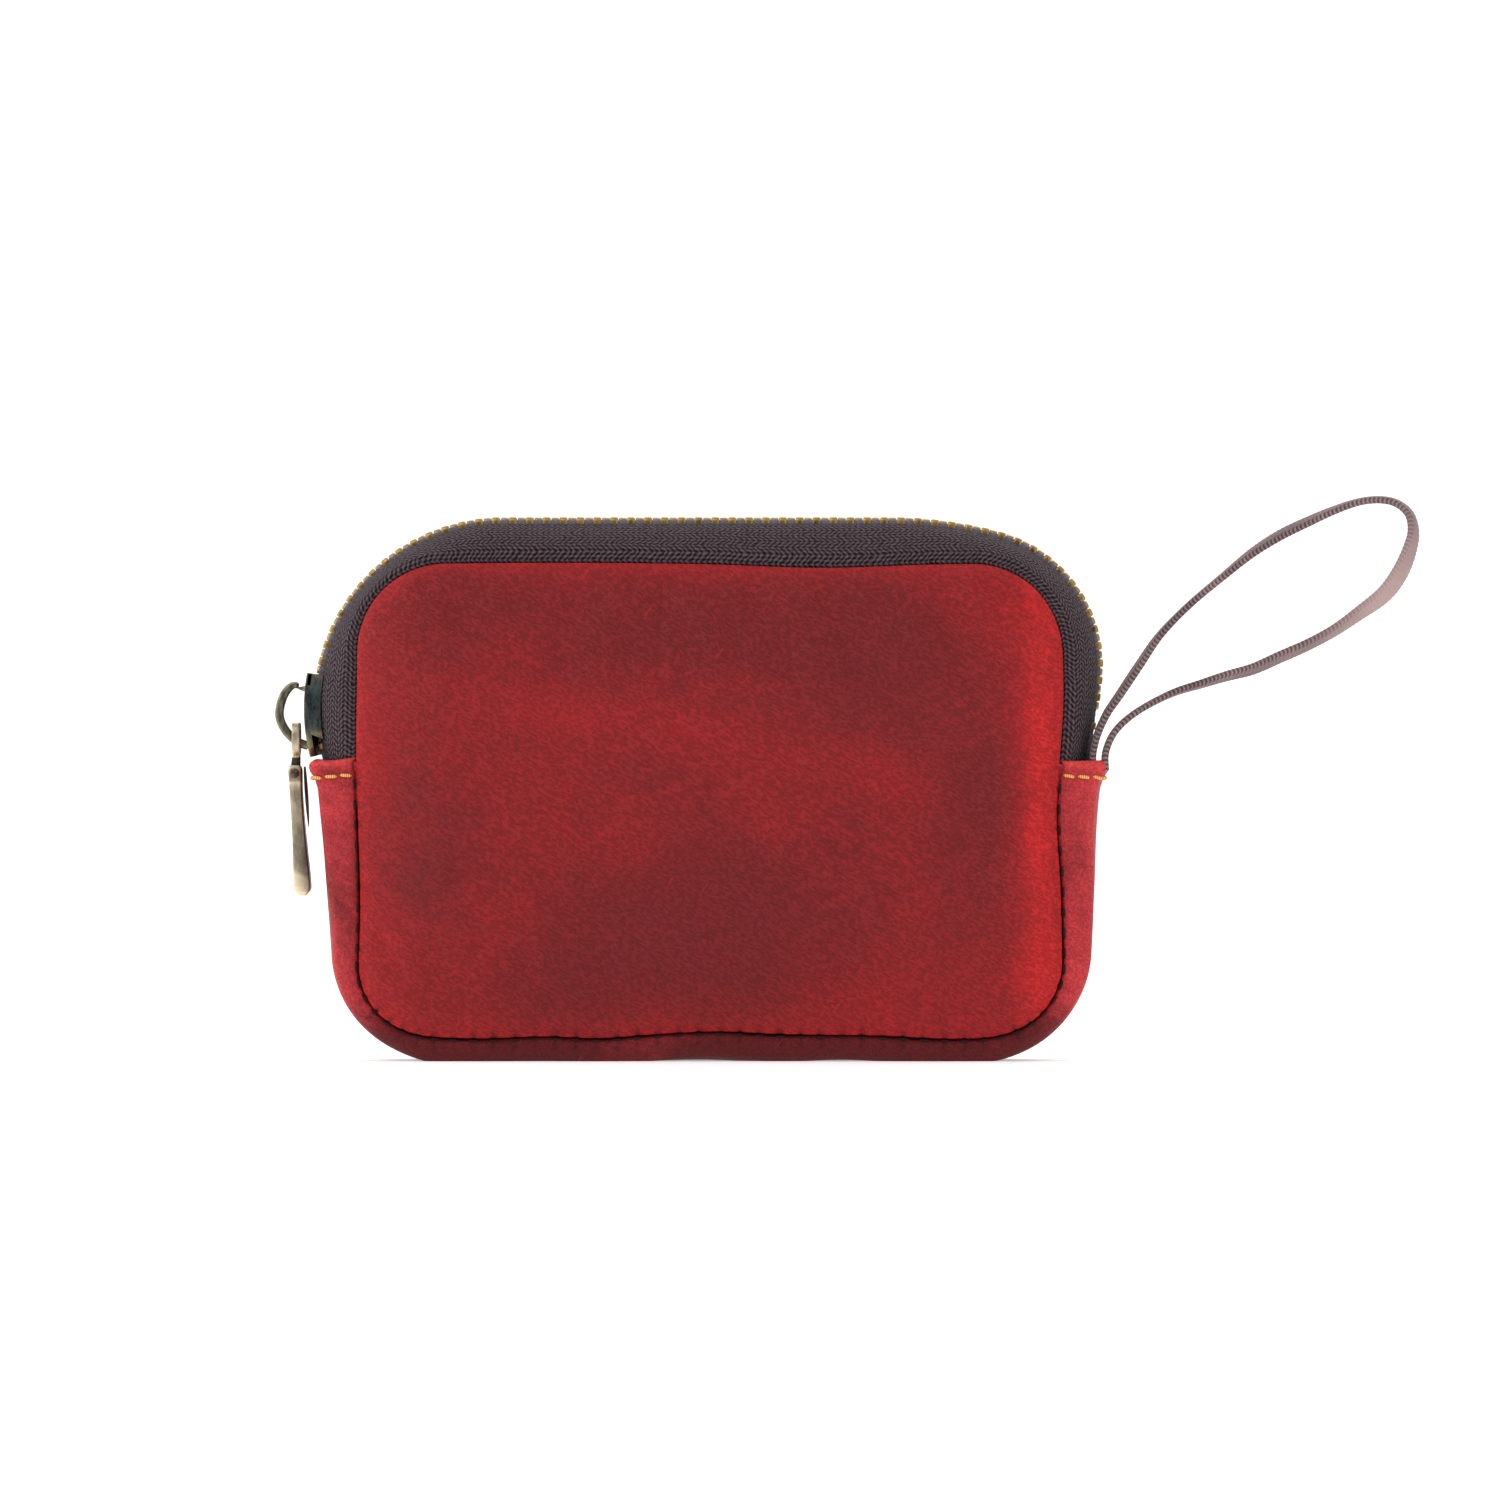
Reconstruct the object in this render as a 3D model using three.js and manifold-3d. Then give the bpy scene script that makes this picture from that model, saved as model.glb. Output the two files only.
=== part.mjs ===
// A small leather pouch that stands on its gusset, with a curved zip, a metal pull and a braided wrist loop.
// Millimetres. +X runs along the pouch, +Y away from the front, +Z up.
// The origin is the middle of the flat base.
import * as THREE from "three";
import { mergeVertices } from "three/addons/utils/BufferGeometryUtils.js";
import Module from "manifold-3d";

const wasm = await Module();
wasm.setup();

// ---- Driving dimensions ----

const GAP = 0.3; // between pieces that are sewn or clamped together
const FINE_GAP = 0.15; // between small metal pieces
const JOINING = 0.4; // how far parts of one casting run into each other

// the front and back panels, in outline
const PANEL_WIDTH = 106.6;
const PANEL_HEIGHT = 71.3;
const PANEL_TOP_RADIUS = 13.5;
const PANEL_BASE_RADIUS = 11;
const PANEL_LEATHER = 1.6;
const PANEL_PUFF = 4.2; // how far the middle of a panel stands proud of its seam
const PANEL_ROLL = 3.4; // how quickly the edge rolls back to the seam

// the gusset: one strip of leather round the sides and the base
const SEAM_DEPTH = 19; // from the front seam to the back seam
const GUSSET_LEATHER = 1.3;
const BASE_DROP = 4; // from a panel's lower edge to the base
const LEFT_BULGE_TOP = 6.3; // how far the gusset stands outside the panels, at the hem
const LEFT_BULGE_BASE = 2.7; // and at the base
const RIGHT_BULGE_TOP = 6.1;
const RIGHT_BULGE_BASE = 3.5;
const GUSSET_RADIUS = 17;
const BASE_FLAT = 0.7; // share of the gusset's depth that is flat
const HEM_BELOW_ARC = 8; // from the middle of the zip's left arc down to the gusset's top edge
const HEM_FLARE = 1.1; // how far the hem stands off to take the zip's ends
const FLARE_LENGTH = 4.5;
const HEM_STITCH = 2.6; // from the hem's edge to its row of stitches

// the zip: its path is the middle line of the teeth
const ZIP_RISE = 6.2; // above the panels
const ZIP_LEFT_REACH = 6; // outside the panels
const ZIP_RIGHT_REACH = 5.5;
const ZIP_LEFT_RADIUS = 28;
const ZIP_RIGHT_RADIUS = 20.2;
const SHOULDER_RADIUS = 63;
const SHOULDER_TURN = THREE.MathUtils.degToRad(15);
const RIGHT_TURN_IN = THREE.MathUtils.degToRad(6.6); // how far the right end leans back in
const ZIP_TUCK = 1.8; // length of zip hidden inside each hem
const TAPE_THICKNESS = 0.5;
const TAPE_ARCH = 2.2; // exponent of the arch from seam to teeth
const TOOTH_PITCH = 2.56;
const TOOTH_LENGTH = 1;
const TOOTH_SLOPE = 0.05; // length over which a tooth rises from the bead
const TOOTH_HALF_HEIGHT = 0.9;
const TOOTH_REACH = 1; // past the middle plane
const BEAD_INNER = 1.3; // the cord that the teeth are clamped on, from the middle plane
const BEAD_OUTER = 2.05;
const BEAD_HALF_HEIGHT = 0.7;
const BOTTOM_STOP_RISE = 4.7; // above the hem
const STOP_LENGTH = 1.2;
const STOP_HALF_HEIGHT = 0.75;
const STOP_SETBACK = 0.6; // from the slider's lower end up to the top stops

// the slider, which follows the left arc of the zip
const SLIDER_LENGTH = 12;
const SLIDER_WIDTH = 9.2;
const SLIDER_LIFT = -1; // from the middle of the arc's side up to the middle of the slider
const PLATE_CLEARANCE = 0.35; // from the teeth to the plates
const PLATE_THICKNESS = 1.05;
const LOWER_PLATE_DROP = 0.6; // extra room below the teeth, for the tapes
const LOWER_PLATE_WIDTH = 6.8;
const FLANGE_THICKNESS = 0.7;
const FLANGE_LIFT = 0.4; // from the middle of the teeth up to the flanges' edges
const FLANGE_STEP = 0.2; // from the top of the upper plate down to the flanges' tops
const DIVIDER_WIDTH = 1.8;
const DIVIDER_LENGTH = 3;
const CROWN_HALF_LENGTH = 4.7;
const CROWN_WIDTH = 2.8;
const CROWN_THICKNESS = 1.1;
const CROWN_FOOT = 0.25; // how far the strip's middle line stands off at its feet
const CROWN_LIFT = -0.4; // from the middle of the slider up to the middle of the crown
const CROWN_REACH = 3.7; // outside the upper plate, to the strip's middle line

// the pull
const LINK_WIDTH = 6;
const LINK_THICKNESS = 1.3;
const LINK_RAIL = 1.25;
const LINK_BAR = 1.4;
const LINK_SILL = 0.7;
const LINK_LENGTH = 5.1;
const LINK_TO_RIVET = 7;
const PIVOT_OUT = 1.15; // from the upper plate to the middle of the link's upper bar
const PIVOT_DROP = 1.9; // from the middle of the slider down to that bar
const RIVET_OUT = 0.2; // how much further out the rivet is
const LUG_WIDTH = 2.4;
const LUG_STEP = 0.1;
const RIVET_RADIUS = 0.45;
const RIVET_HEAD_RADIUS = 0.75;
const RIVET_HEAD_HEIGHT = 0.4;
const TAB_TOP_THICKNESS = 2.1;
const TAB_END_THICKNESS = 2.6;
const TAB_LENGTH = 19.8;
const TAB_ABOVE_RIVET = 1.2;
const TAB_END_BELLY = 0.5; // how far the end's edge curves down
const TAB_CORNER = 2;
const TAB_LEAN = 1.2; // how far the tab's end hangs in towards the pouch
const TAB_END_WIDTH = 7;
const SLOT_ROOM = 0.5; // below the lug's eye, in the tab's fork
const LEAF_LENGTH = 9.2;
const LEAF_THICKNESS = 0.4;
const LEAF_HALF_WIDTH = 1;
const LEAF_ABOVE_RIVET = 1;

// the wrist loop, a flat braid
const BRAID_WIDTH = 5;
const BRAID_THICKNESS = 1.1;
const BRAID_STEPS = 44;

const THREAD_RADIUS = 0.2;
const SEAM_THREAD_OUT = 0.15; // outside the seam line
const HEM_THREAD_OFF = 0.6; // from the leather to the middle of the hem's thread

// the loop's middle line; both ends stand side by side in the front of the right hem
const LOOP_ROUTE = [
  [58.1, -5, 46.6], [58.8, -4.9, 49.5], [60.2, -4.7, 52.6], [62.1, -4.3, 55.4], [65.1, -3.6, 59.9],
  [68.3, -2.7, 64.5], [72.8, -1.7, 69.1], [78.4, -0.8, 73.8], [82.5, -0.3, 77.1], [86.6, 0, 79.7],
  [90.7, 0, 81.7], [94.8, 0, 83.5], [98.7, 0, 84.8], [102, 0, 85.1], [104.5, 0, 84.5],
  [106.3, 0, 82.9], [106.9, 0, 80.4], [106.4, 0, 77.7], [104.9, 0, 74.1], [102.5, 0, 70.8],
  [98.7, 0, 67.9], [94.8, 0, 65.2], [90.7, 0, 63], [86.6, -0.1, 61.2], [82.5, -0.5, 59.4],
  [78.4, -1.2, 58.3], [74.5, -2, 57.1], [70.4, -2.9, 55.8], [66.3, -3.8, 53.8], [63.2, -4.5, 51.7],
  [61.1, -4.9, 49.4], [60, -5, 46.6],
];

// ---- Values that follow from them ----

const HALF_WIDTH = PANEL_WIDTH / 2;
const PANEL_LOW = BASE_DROP;
const PANEL_HIGH = PANEL_LOW + PANEL_HEIGHT;
const SEAM_Y = SEAM_DEPTH / 2;
const ZIP_TOP = PANEL_HIGH + ZIP_RISE;
const ARC_CENTRE = new THREE.Vector2(
  ZIP_LEFT_RADIUS - HALF_WIDTH - ZIP_LEFT_REACH,
  ZIP_TOP - ZIP_LEFT_RADIUS,
);
const HEM_HEIGHT = ARC_CENTRE.y - HEM_BELOW_ARC;
const BOTTOM_STOP_HEIGHT = HEM_HEIGHT + BOTTOM_STOP_RISE;
const ZIP_LOW = HEM_HEIGHT - ZIP_TUCK;
const UPPER_PLATE_INNER = ZIP_LEFT_RADIUS + TOOTH_HALF_HEIGHT + PLATE_CLEARANCE;
const UPPER_PLATE_OUTER = UPPER_PLATE_INNER + PLATE_THICKNESS;
const LOWER_PLATE_OUTER = ZIP_LEFT_RADIUS - TOOTH_HALF_HEIGHT - LOWER_PLATE_DROP;
const LOWER_PLATE_INNER = LOWER_PLATE_OUTER - PLATE_THICKNESS;
const SLIDER_MIDDLE = SLIDER_LIFT / ZIP_LEFT_RADIUS; // angles above the arc's side, in radians
const SLIDER_LOW = SLIDER_MIDDLE - SLIDER_LENGTH / 2 / ZIP_LEFT_RADIUS;
const SLIDER_HIGH = SLIDER_MIDDLE + SLIDER_LENGTH / 2 / ZIP_LEFT_RADIUS;
const DIVIDER_HIGH = SLIDER_LOW + DIVIDER_LENGTH / ZIP_LEFT_RADIUS;

// the link hangs by its upper bar on the lower leg of the crown
const SLIDER_Z = ARC_CENTRE.y + SLIDER_LIFT;
const PIVOT = new THREE.Vector2(ARC_CENTRE.x - UPPER_PLATE_OUTER - PIVOT_OUT, SLIDER_Z - PIVOT_DROP);
const RIVET = new THREE.Vector2(PIVOT.x - RIVET_OUT, PIVOT.y - LINK_TO_RIVET);

// ---- Geometry helpers ----

// A closed skin over rings that all have the same even number of points. Each end is closed by a ladder of
// triangles from a ring's first half to its second half.
function skin(rings) {
  const count = rings[0].length;
  const positions = rings.flat().flatMap((p) => [p.x, p.y, p.z]);
  const faces = [];
  for (let r = 0; r + 1 < rings.length; r++) {
    for (let i = 0; i < count; i++) {
      const j = (i + 1) % count;
      const [a, b, c, d] = [r * count + i, r * count + j, (r + 1) * count + j, (r + 1) * count + i];
      faces.push(a, b, c, a, c, d);
    }
  }
  const last = (rings.length - 1) * count;
  for (let i = 0; i + 1 < count / 2; i++) {
    const [a, b, c, d] = [i, i + 1, count - 2 - i, count - 1 - i];
    faces.push(a, c, b, a, d, c);
    faces.push(last + a, last + b, last + c, last + a, last + c, last + d);
  }
  return facingOut(positions, faces);
}

// A geometry from positions and triangles, turned round if it encloses a negative volume.
function facingOut(positions, faces) {
  const at = (i) => new THREE.Vector3().fromArray(positions, 3 * i);
  let volume = 0;
  for (let i = 0; i < faces.length; i += 3) {
    volume += at(faces[i]).dot(at(faces[i + 1]).cross(at(faces[i + 2])));
  }
  if (volume < 0) faces.reverse();
  const geometry = new THREE.BufferGeometry();
  geometry.setAttribute("position", new THREE.Float32BufferAttribute(positions, 3));
  geometry.setIndex(faces);
  return geometry;
}

function solidFrom(geometry) {
  const bare = new THREE.BufferGeometry();
  bare.setAttribute("position", geometry.getAttribute("position").clone());
  if (geometry.index) bare.setIndex(geometry.index.clone());
  const merged = mergeVertices(bare, 1e-4);
  return new wasm.Manifold(
    new wasm.Mesh({
      numProp: 3,
      vertProperties: merged.attributes.position.array,
      triVerts: new Uint32Array(merged.index.array),
    }),
  );
}

function geometryFrom(solid) {
  const mesh = solid.getMesh();
  const geometry = new THREE.BufferGeometry();
  geometry.setAttribute("position", new THREE.BufferAttribute(mesh.vertProperties.slice(), 3));
  geometry.setIndex(new THREE.BufferAttribute(mesh.triVerts.slice(), 1));
  return geometry;
}

// An outline drawn in x and z, made solid from y0 to y1.
function across(shape, y0, y1, curveSegments = 8) {
  const geometry = new THREE.ExtrudeGeometry(shape, {
    depth: y1 - y0,
    bevelEnabled: false,
    curveSegments,
  });
  return geometry.rotateX(Math.PI / 2).translate(0, y1, 0);
}

// An outline drawn in y and z, made solid from x0 to x1.
function along(shape, x0, x1, curveSegments = 6) {
  const geometry = new THREE.ExtrudeGeometry(shape, {
    depth: x1 - x0,
    bevelEnabled: false,
    curveSegments,
  });
  return geometry.rotateX(Math.PI / 2).rotateZ(Math.PI / 2).translate(x0, 0, 0);
}

// A pin along y, from y0 to y1.
function pin(x, z, radius, y0, y1, sides = 16) {
  const geometry = new THREE.CylinderGeometry(radius, radius, y1 - y0, sides);
  return geometry.translate(x, (y0 + y1) / 2, z);
}

function rectangle(x0, z0, x1, z1) {
  const corners = [[x0, z0], [x1, z0], [x1, z1], [x0, z1]];
  return new THREE.Shape(corners.map(([x, z]) => new THREE.Vector2(x, z)));
}

// Part of a ring round the centre of the left arc; the angles start at its side and go up.
function ringPart(inner, outer, low, high) {
  const shape = new THREE.Shape();
  shape.absarc(ARC_CENTRE.x, ARC_CENTRE.y, outer, Math.PI - low, Math.PI - high, true);
  shape.absarc(ARC_CENTRE.x, ARC_CENTRE.y, inner, Math.PI - high, Math.PI - low, false);
  return shape;
}

// A strip of even thickness along a line of points.
function strip(points, thickness) {
  const curve = new THREE.SplineCurve(points);
  const sides = [[], []];
  const steps = 20;
  for (let i = 0; i <= steps; i++) {
    const p = curve.getPoint(i / steps);
    const t = curve.getTangent(i / steps);
    const n = new THREE.Vector2(-t.y, t.x).multiplyScalar(thickness / 2);
    sides[0].push(p.clone().add(n));
    sides[1].unshift(p.clone().sub(n));
  }
  return new THREE.Shape(sides.flat());
}

function tube(points, section, steps) {
  const path = new THREE.CatmullRomCurve3(points, false, "centripetal");
  return new THREE.ExtrudeGeometry(section, { steps, extrudePath: path, bevelEnabled: false });
}

function polygon(sides, radius) {
  const turns = Array.from({ length: sides }, (_, i) => (2 * Math.PI * i) / sides);
  return new THREE.Shape(turns.map((a) => new THREE.Vector2(radius * Math.cos(a), radius * Math.sin(a))));
}

// ---- The panel outline and the two paths round it ----

// Distance from a point in x and z to the panel's outline, negative inside it.
function outsidePanel(p) {
  const middle = (PANEL_LOW + PANEL_HIGH) / 2;
  const radius = p.y > middle ? PANEL_TOP_RADIUS : PANEL_BASE_RADIUS;
  const dx = Math.abs(p.x) - HALF_WIDTH + radius;
  const dz = Math.abs(p.y - middle) - PANEL_HEIGHT / 2 + radius;
  return Math.hypot(Math.max(dx, 0), Math.max(dz, 0)) + Math.min(Math.max(dx, dz), 0) - radius;
}

// How far in from p, along a direction, a point lies at the seam, a gap outside the panel.
function reachToSeam(p, inward) {
  let near = 0;
  let far = HALF_WIDTH / 2;
  for (let i = 0; i < 40; i++) {
    const middle = (near + far) / 2;
    if (outsidePanel(p.clone().addScaledVector(inward, middle)) > GAP) near = middle;
    else far = middle;
  }
  return far;
}

// A station: where a path is, which way is outwards, and how far in the seam is.
function stationAt(path, distance) {
  const u = THREE.MathUtils.clamp(distance / path.getLength(), 0, 1);
  const point = path.getPointAt(u);
  const tangent = path.getTangentAt(u);
  const outward = new THREE.Vector2(-tangent.y, tangent.x);
  return { point, outward, reach: reachToSeam(point, outward.clone().negate()) };
}

// The point that lies this far outwards from the seam, at depth y.
function fromSeam(station, distance, y) {
  const p = station.point.clone().addScaledVector(station.outward, distance - station.reach);
  return new THREE.Vector3(p.x, y, p.y);
}

function stationsAlong(path, spacing, start = 0, end = path.getLength()) {
  const count = Math.round((end - start) / spacing);
  return Array.from({ length: count + 1 }, (_, i) => stationAt(path, start + ((end - start) * i) / count));
}

// The middle line of the teeth: up the left side, over the top and down the right side.
function makeZipPath() {
  const path = new THREE.Path();
  const low = Math.asin((ARC_CENTRE.y - ZIP_LOW) / ZIP_LEFT_RADIUS);
  path.absarc(ARC_CENTRE.x, ARC_CENTRE.y, ZIP_LEFT_RADIUS, Math.PI + low, Math.PI / 2, true);
  const right = HALF_WIDTH + ZIP_RIGHT_REACH - ZIP_RIGHT_RADIUS;
  const shoulderX = right - (SHOULDER_RADIUS - ZIP_RIGHT_RADIUS) * Math.sin(SHOULDER_TURN);
  const cornerZ = ZIP_TOP - SHOULDER_RADIUS + (SHOULDER_RADIUS - ZIP_RIGHT_RADIUS) * Math.cos(SHOULDER_TURN);
  const turned = Math.PI / 2 - SHOULDER_TURN;
  path.absarc(shoulderX, ZIP_TOP - SHOULDER_RADIUS, SHOULDER_RADIUS, Math.PI / 2, turned, true);
  path.absarc(right, cornerZ, ZIP_RIGHT_RADIUS, turned, -RIGHT_TURN_IN, true);
  const drop = path.currentPoint.y - ZIP_LOW;
  path.lineTo(path.currentPoint.x - drop * Math.tan(RIGHT_TURN_IN), ZIP_LOW);
  return path;
}

// The outer line of the gusset: down the right side, along the base and up the left side.
function makeGussetPath() {
  const path = new THREE.Path();
  const right = { top: HALF_WIDTH + RIGHT_BULGE_TOP, base: HALF_WIDTH + RIGHT_BULGE_BASE };
  const left = { top: HALF_WIDTH + LEFT_BULGE_TOP, base: HALF_WIDTH + LEFT_BULGE_BASE };
  const lean = (side) => Math.atan((side.top - side.base) / HEM_HEIGHT);
  const cornerX = (side) =>
    side.base + GUSSET_RADIUS * Math.tan(lean(side)) - GUSSET_RADIUS / Math.cos(lean(side));
  path.moveTo(right.top, HEM_HEIGHT);
  path.lineTo(
    cornerX(right) + GUSSET_RADIUS * Math.cos(lean(right)),
    GUSSET_RADIUS - GUSSET_RADIUS * Math.sin(lean(right)),
  );
  path.absarc(cornerX(right), GUSSET_RADIUS, GUSSET_RADIUS, -lean(right), -Math.PI / 2, true);
  path.absarc(-cornerX(left), GUSSET_RADIUS, GUSSET_RADIUS, -Math.PI / 2, -Math.PI + lean(left), true);
  path.lineTo(-left.top, HEM_HEIGHT);
  return path;
}

const zipPath = makeZipPath();
const gussetPath = makeGussetPath();

// ---- Leather ----

// One ring of the panel's outline, drawn in by an inset.
function panelRing(inset, y) {
  const points = [];
  const steps = 7;
  const corners = [
    [1, 1, PANEL_TOP_RADIUS], [-1, 1, PANEL_TOP_RADIUS],
    [-1, -1, PANEL_BASE_RADIUS], [1, -1, PANEL_BASE_RADIUS],
  ];
  corners.forEach(([sx, sz, radius], quarter) => {
    const r = Math.max(radius - inset, 1);
    const cx = sx * (HALF_WIDTH - inset - r);
    const cz = (PANEL_LOW + PANEL_HIGH) / 2 + sz * (PANEL_HEIGHT / 2 - inset - r);
    for (let i = 0; i <= steps; i++) {
      const angle = (Math.PI / 2) * (quarter + i / steps);
      points.push(new THREE.Vector3(cx + r * Math.cos(angle), y, cz + r * Math.sin(angle)));
    }
  });
  return points;
}

// A puffed panel whose edge rolls back to the seam. side is -1 at the front and 1 at the back.
function panel(side) {
  const insets = [20, 11, 6.5, 3.6, 1.8, 0.7, 0];
  const proud = (inset) => SEAM_Y + PANEL_PUFF * (1 - Math.exp(-inset / PANEL_ROLL));
  const outer = insets.map((inset) => panelRing(inset, side * proud(inset)));
  const inner = insets.map((inset) => panelRing(inset, side * (proud(inset) - PANEL_LEATHER))).reverse();
  return skin([...outer, ...inner]);
}

function gussetFlare(station) {
  return HEM_FLARE * THREE.MathUtils.smoothstep(station.point.y, HEM_HEIGHT - FLARE_LENGTH, HEM_HEIGHT - 1);
}

// How far the gusset's outer face stands out from the seam, at a share of its half depth.
function gussetFace(station, share) {
  const curl = Math.max(0, (Math.abs(share) - BASE_FLAT) / (1 - BASE_FLAT));
  const arch = 1 - curl ** 2.5;
  return GUSSET_LEATHER + (station.reach - GUSSET_LEATHER) * arch + gussetFlare(station);
}

function gusset() {
  const shares = [-1, -0.94, -0.85, -BASE_FLAT, 0, BASE_FLAT, 0.85, 0.94, 1];
  const rings = stationsAlong(gussetPath, 3.4).map((station) => {
    const outer = shares.map((v) => fromSeam(station, gussetFace(station, v), v * SEAM_Y));
    const inner = shares.map((v) => fromSeam(station, gussetFace(station, v) - GUSSET_LEATHER, v * SEAM_Y));
    return [...outer, ...inner.reverse()];
  });
  return skin(rings);
}

// ---- Zip ----

// How far the middle of the tape stands out from the seam, at depth y.
function tapeHeight(station, y) {
  const arch = 1 - (Math.abs(y) / SEAM_Y) ** TAPE_ARCH;
  return TAPE_THICKNESS / 2 + (station.reach - TAPE_THICKNESS / 2) * arch;
}

function tape(side) {
  const depths = [SEAM_Y, 0.86 * SEAM_Y, 0.65 * SEAM_Y, 0.44 * SEAM_Y, BEAD_OUTER + GAP].map((y) => side * y);
  const rings = stationsAlong(zipPath, 3.2).map((station) => {
    const face = (offset) => depths.map((y) => fromSeam(station, tapeHeight(station, y) + offset, y));
    return [...face(TAPE_THICKNESS / 2), ...face(-TAPE_THICKNESS / 2).reverse()];
  });
  return skin(rings);
}

// A square section of the row of teeth: the bead alone, or a tooth that reaches past the middle plane.
function toothSection(distance, side, isTooth) {
  const station = stationAt(zipPath, distance);
  const tip = isTooth ? -TOOTH_REACH : BEAD_INNER;
  const half = isTooth ? TOOTH_HALF_HEIGHT : BEAD_HALF_HEIGHT;
  const corners = [[BEAD_OUTER, -half], [BEAD_OUTER, half], [tip, half], [tip, -half]];
  return corners.map(([y, rise]) => fromSeam(station, station.reach + rise, side * y));
}

const ARC_LENGTH_BELOW_SIDE = ZIP_LEFT_RADIUS * Math.asin((ARC_CENTRE.y - ZIP_LOW) / ZIP_LEFT_RADIUS);
const TEETH_START = ARC_LENGTH_BELOW_SIDE + ZIP_LEFT_RADIUS * DIVIDER_HIGH + GAP;
const STOP_AND_BELOW = (BOTTOM_STOP_HEIGHT + STOP_LENGTH - ZIP_LOW) / Math.cos(RIGHT_TURN_IN);
const TEETH_END = zipPath.getLength() - STOP_AND_BELOW - GAP;

// The two rows mesh: the back row's teeth stand half a pitch further along.
function teeth(side) {
  const first = TEETH_START + (side > 0 ? TOOTH_PITCH / 2 : 0);
  const count = Math.floor((TEETH_END - TEETH_START - TOOTH_PITCH) / TOOTH_PITCH) + 1;
  const rings = [];
  for (let i = 0; i < count; i++) {
    const start = first + i * TOOTH_PITCH;
    const end = start + TOOTH_LENGTH;
    rings.push(toothSection(start, side, false), toothSection(start + TOOTH_SLOPE, side, true));
    rings.push(toothSection(end - TOOTH_SLOPE, side, true), toothSection(end, side, false));
  }
  return skin(rings);
}

// A small stop clamped on one bead, or on both when it reaches across.
function stop(distance, y0, y1) {
  const half = STOP_HALF_HEIGHT;
  const section = (s) => {
    const station = stationAt(zipPath, s);
    const corners = [[y0, -half], [y0, half], [y1, half], [y1, -half]];
    return corners.map(([y, rise]) => fromSeam(station, station.reach + rise, y));
  };
  return skin([section(distance), section(distance + STOP_LENGTH)]);
}

// ---- Slider and pull ----

function sliderBody() {
  const half = SLIDER_WIDTH / 2;
  const upper = across(ringPart(UPPER_PLATE_INNER, UPPER_PLATE_OUTER, SLIDER_LOW, SLIDER_HIGH), -half, half);
  const lowerHalf = LOWER_PLATE_WIDTH / 2;
  const lower = across(
    ringPart(LOWER_PLATE_INNER, LOWER_PLATE_OUTER, SLIDER_LOW, SLIDER_HIGH), -lowerHalf, lowerHalf,
  );
  const flangeInner = ZIP_LEFT_RADIUS + FLANGE_LIFT;
  const flangeShape = () => ringPart(flangeInner, UPPER_PLATE_OUTER - FLANGE_STEP, SLIDER_LOW, SLIDER_HIGH);
  const flanges = [
    across(flangeShape(), -half, FLANGE_THICKNESS - half),
    across(flangeShape(), half - FLANGE_THICKNESS, half),
  ];
  const divider = across(
    ringPart(LOWER_PLATE_OUTER - JOINING, UPPER_PLATE_INNER + JOINING, SLIDER_LOW, DIVIDER_HIGH),
    -DIVIDER_WIDTH / 2, DIVIDER_WIDTH / 2,
  );
  const joined = [lower, ...flanges, divider].reduce(
    (solid, geometry) => solid.add(solidFrom(geometry)), solidFrom(upper),
  );
  return geometryFrom(joined);
}

// The bridge over the upper plate that the link hangs on. Its profile is in shares of its half
// length and its reach.
function crown() {
  const foot = UPPER_PLATE_OUTER + FINE_GAP + CROWN_FOOT;
  const onPlate = (z, out) => {
    const base = ARC_CENTRE.x - Math.sqrt(foot ** 2 - (z - ARC_CENTRE.y) ** 2);
    return new THREE.Vector2(base - out, z);
  };
  const middle = SLIDER_Z + CROWN_LIFT;
  const profile = [
    [0.98, 0], [1.04, 0.35], [0.68, 0.757], [0.04, 0.919], [-0.43, 0.757], [-0.745, 0.514], [-0.9, 0],
  ];
  const points = profile.map(([up, out]) => onPlate(middle + up * CROWN_HALF_LENGTH, out * CROWN_REACH));
  return across(strip(points, CROWN_THICKNESS), -CROWN_WIDTH / 2, CROWN_WIDTH / 2);
}

// A frame whose upper bar sits inside the crown, with a lug below it for the rivet.
function pullLink() {
  const half = LINK_WIDTH / 2;
  const top = PIVOT.y + LINK_BAR / 2;
  const low = top - LINK_LENGTH;
  const frame = rectangle(-half, low, half, top);
  frame.holes.push(rectangle(LINK_RAIL - half, low + LINK_SILL, half - LINK_RAIL, PIVOT.y - LINK_BAR / 2));
  const x0 = PIVOT.x - LINK_THICKNESS / 2;
  const lugShape = rectangle(x0 + LUG_STEP, RIVET.y, x0 + LINK_THICKNESS - LUG_STEP, low + JOINING);
  const lug = across(lugShape, -LUG_WIDTH / 2, LUG_WIDTH / 2);
  const eye = pin(RIVET.x, RIVET.y, TAB_TOP_THICKNESS / 2, -LUG_WIDTH / 2, LUG_WIDTH / 2);
  const hole = pin(RIVET.x, RIVET.y, RIVET_RADIUS + FINE_GAP, -LUG_WIDTH, LUG_WIDTH);
  const solid = solidFrom(along(frame, x0, x0 + LINK_THICKNESS)).add(solidFrom(lug)).add(solidFrom(eye));
  return geometryFrom(solid.subtract(solidFrom(hole)));
}

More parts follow.
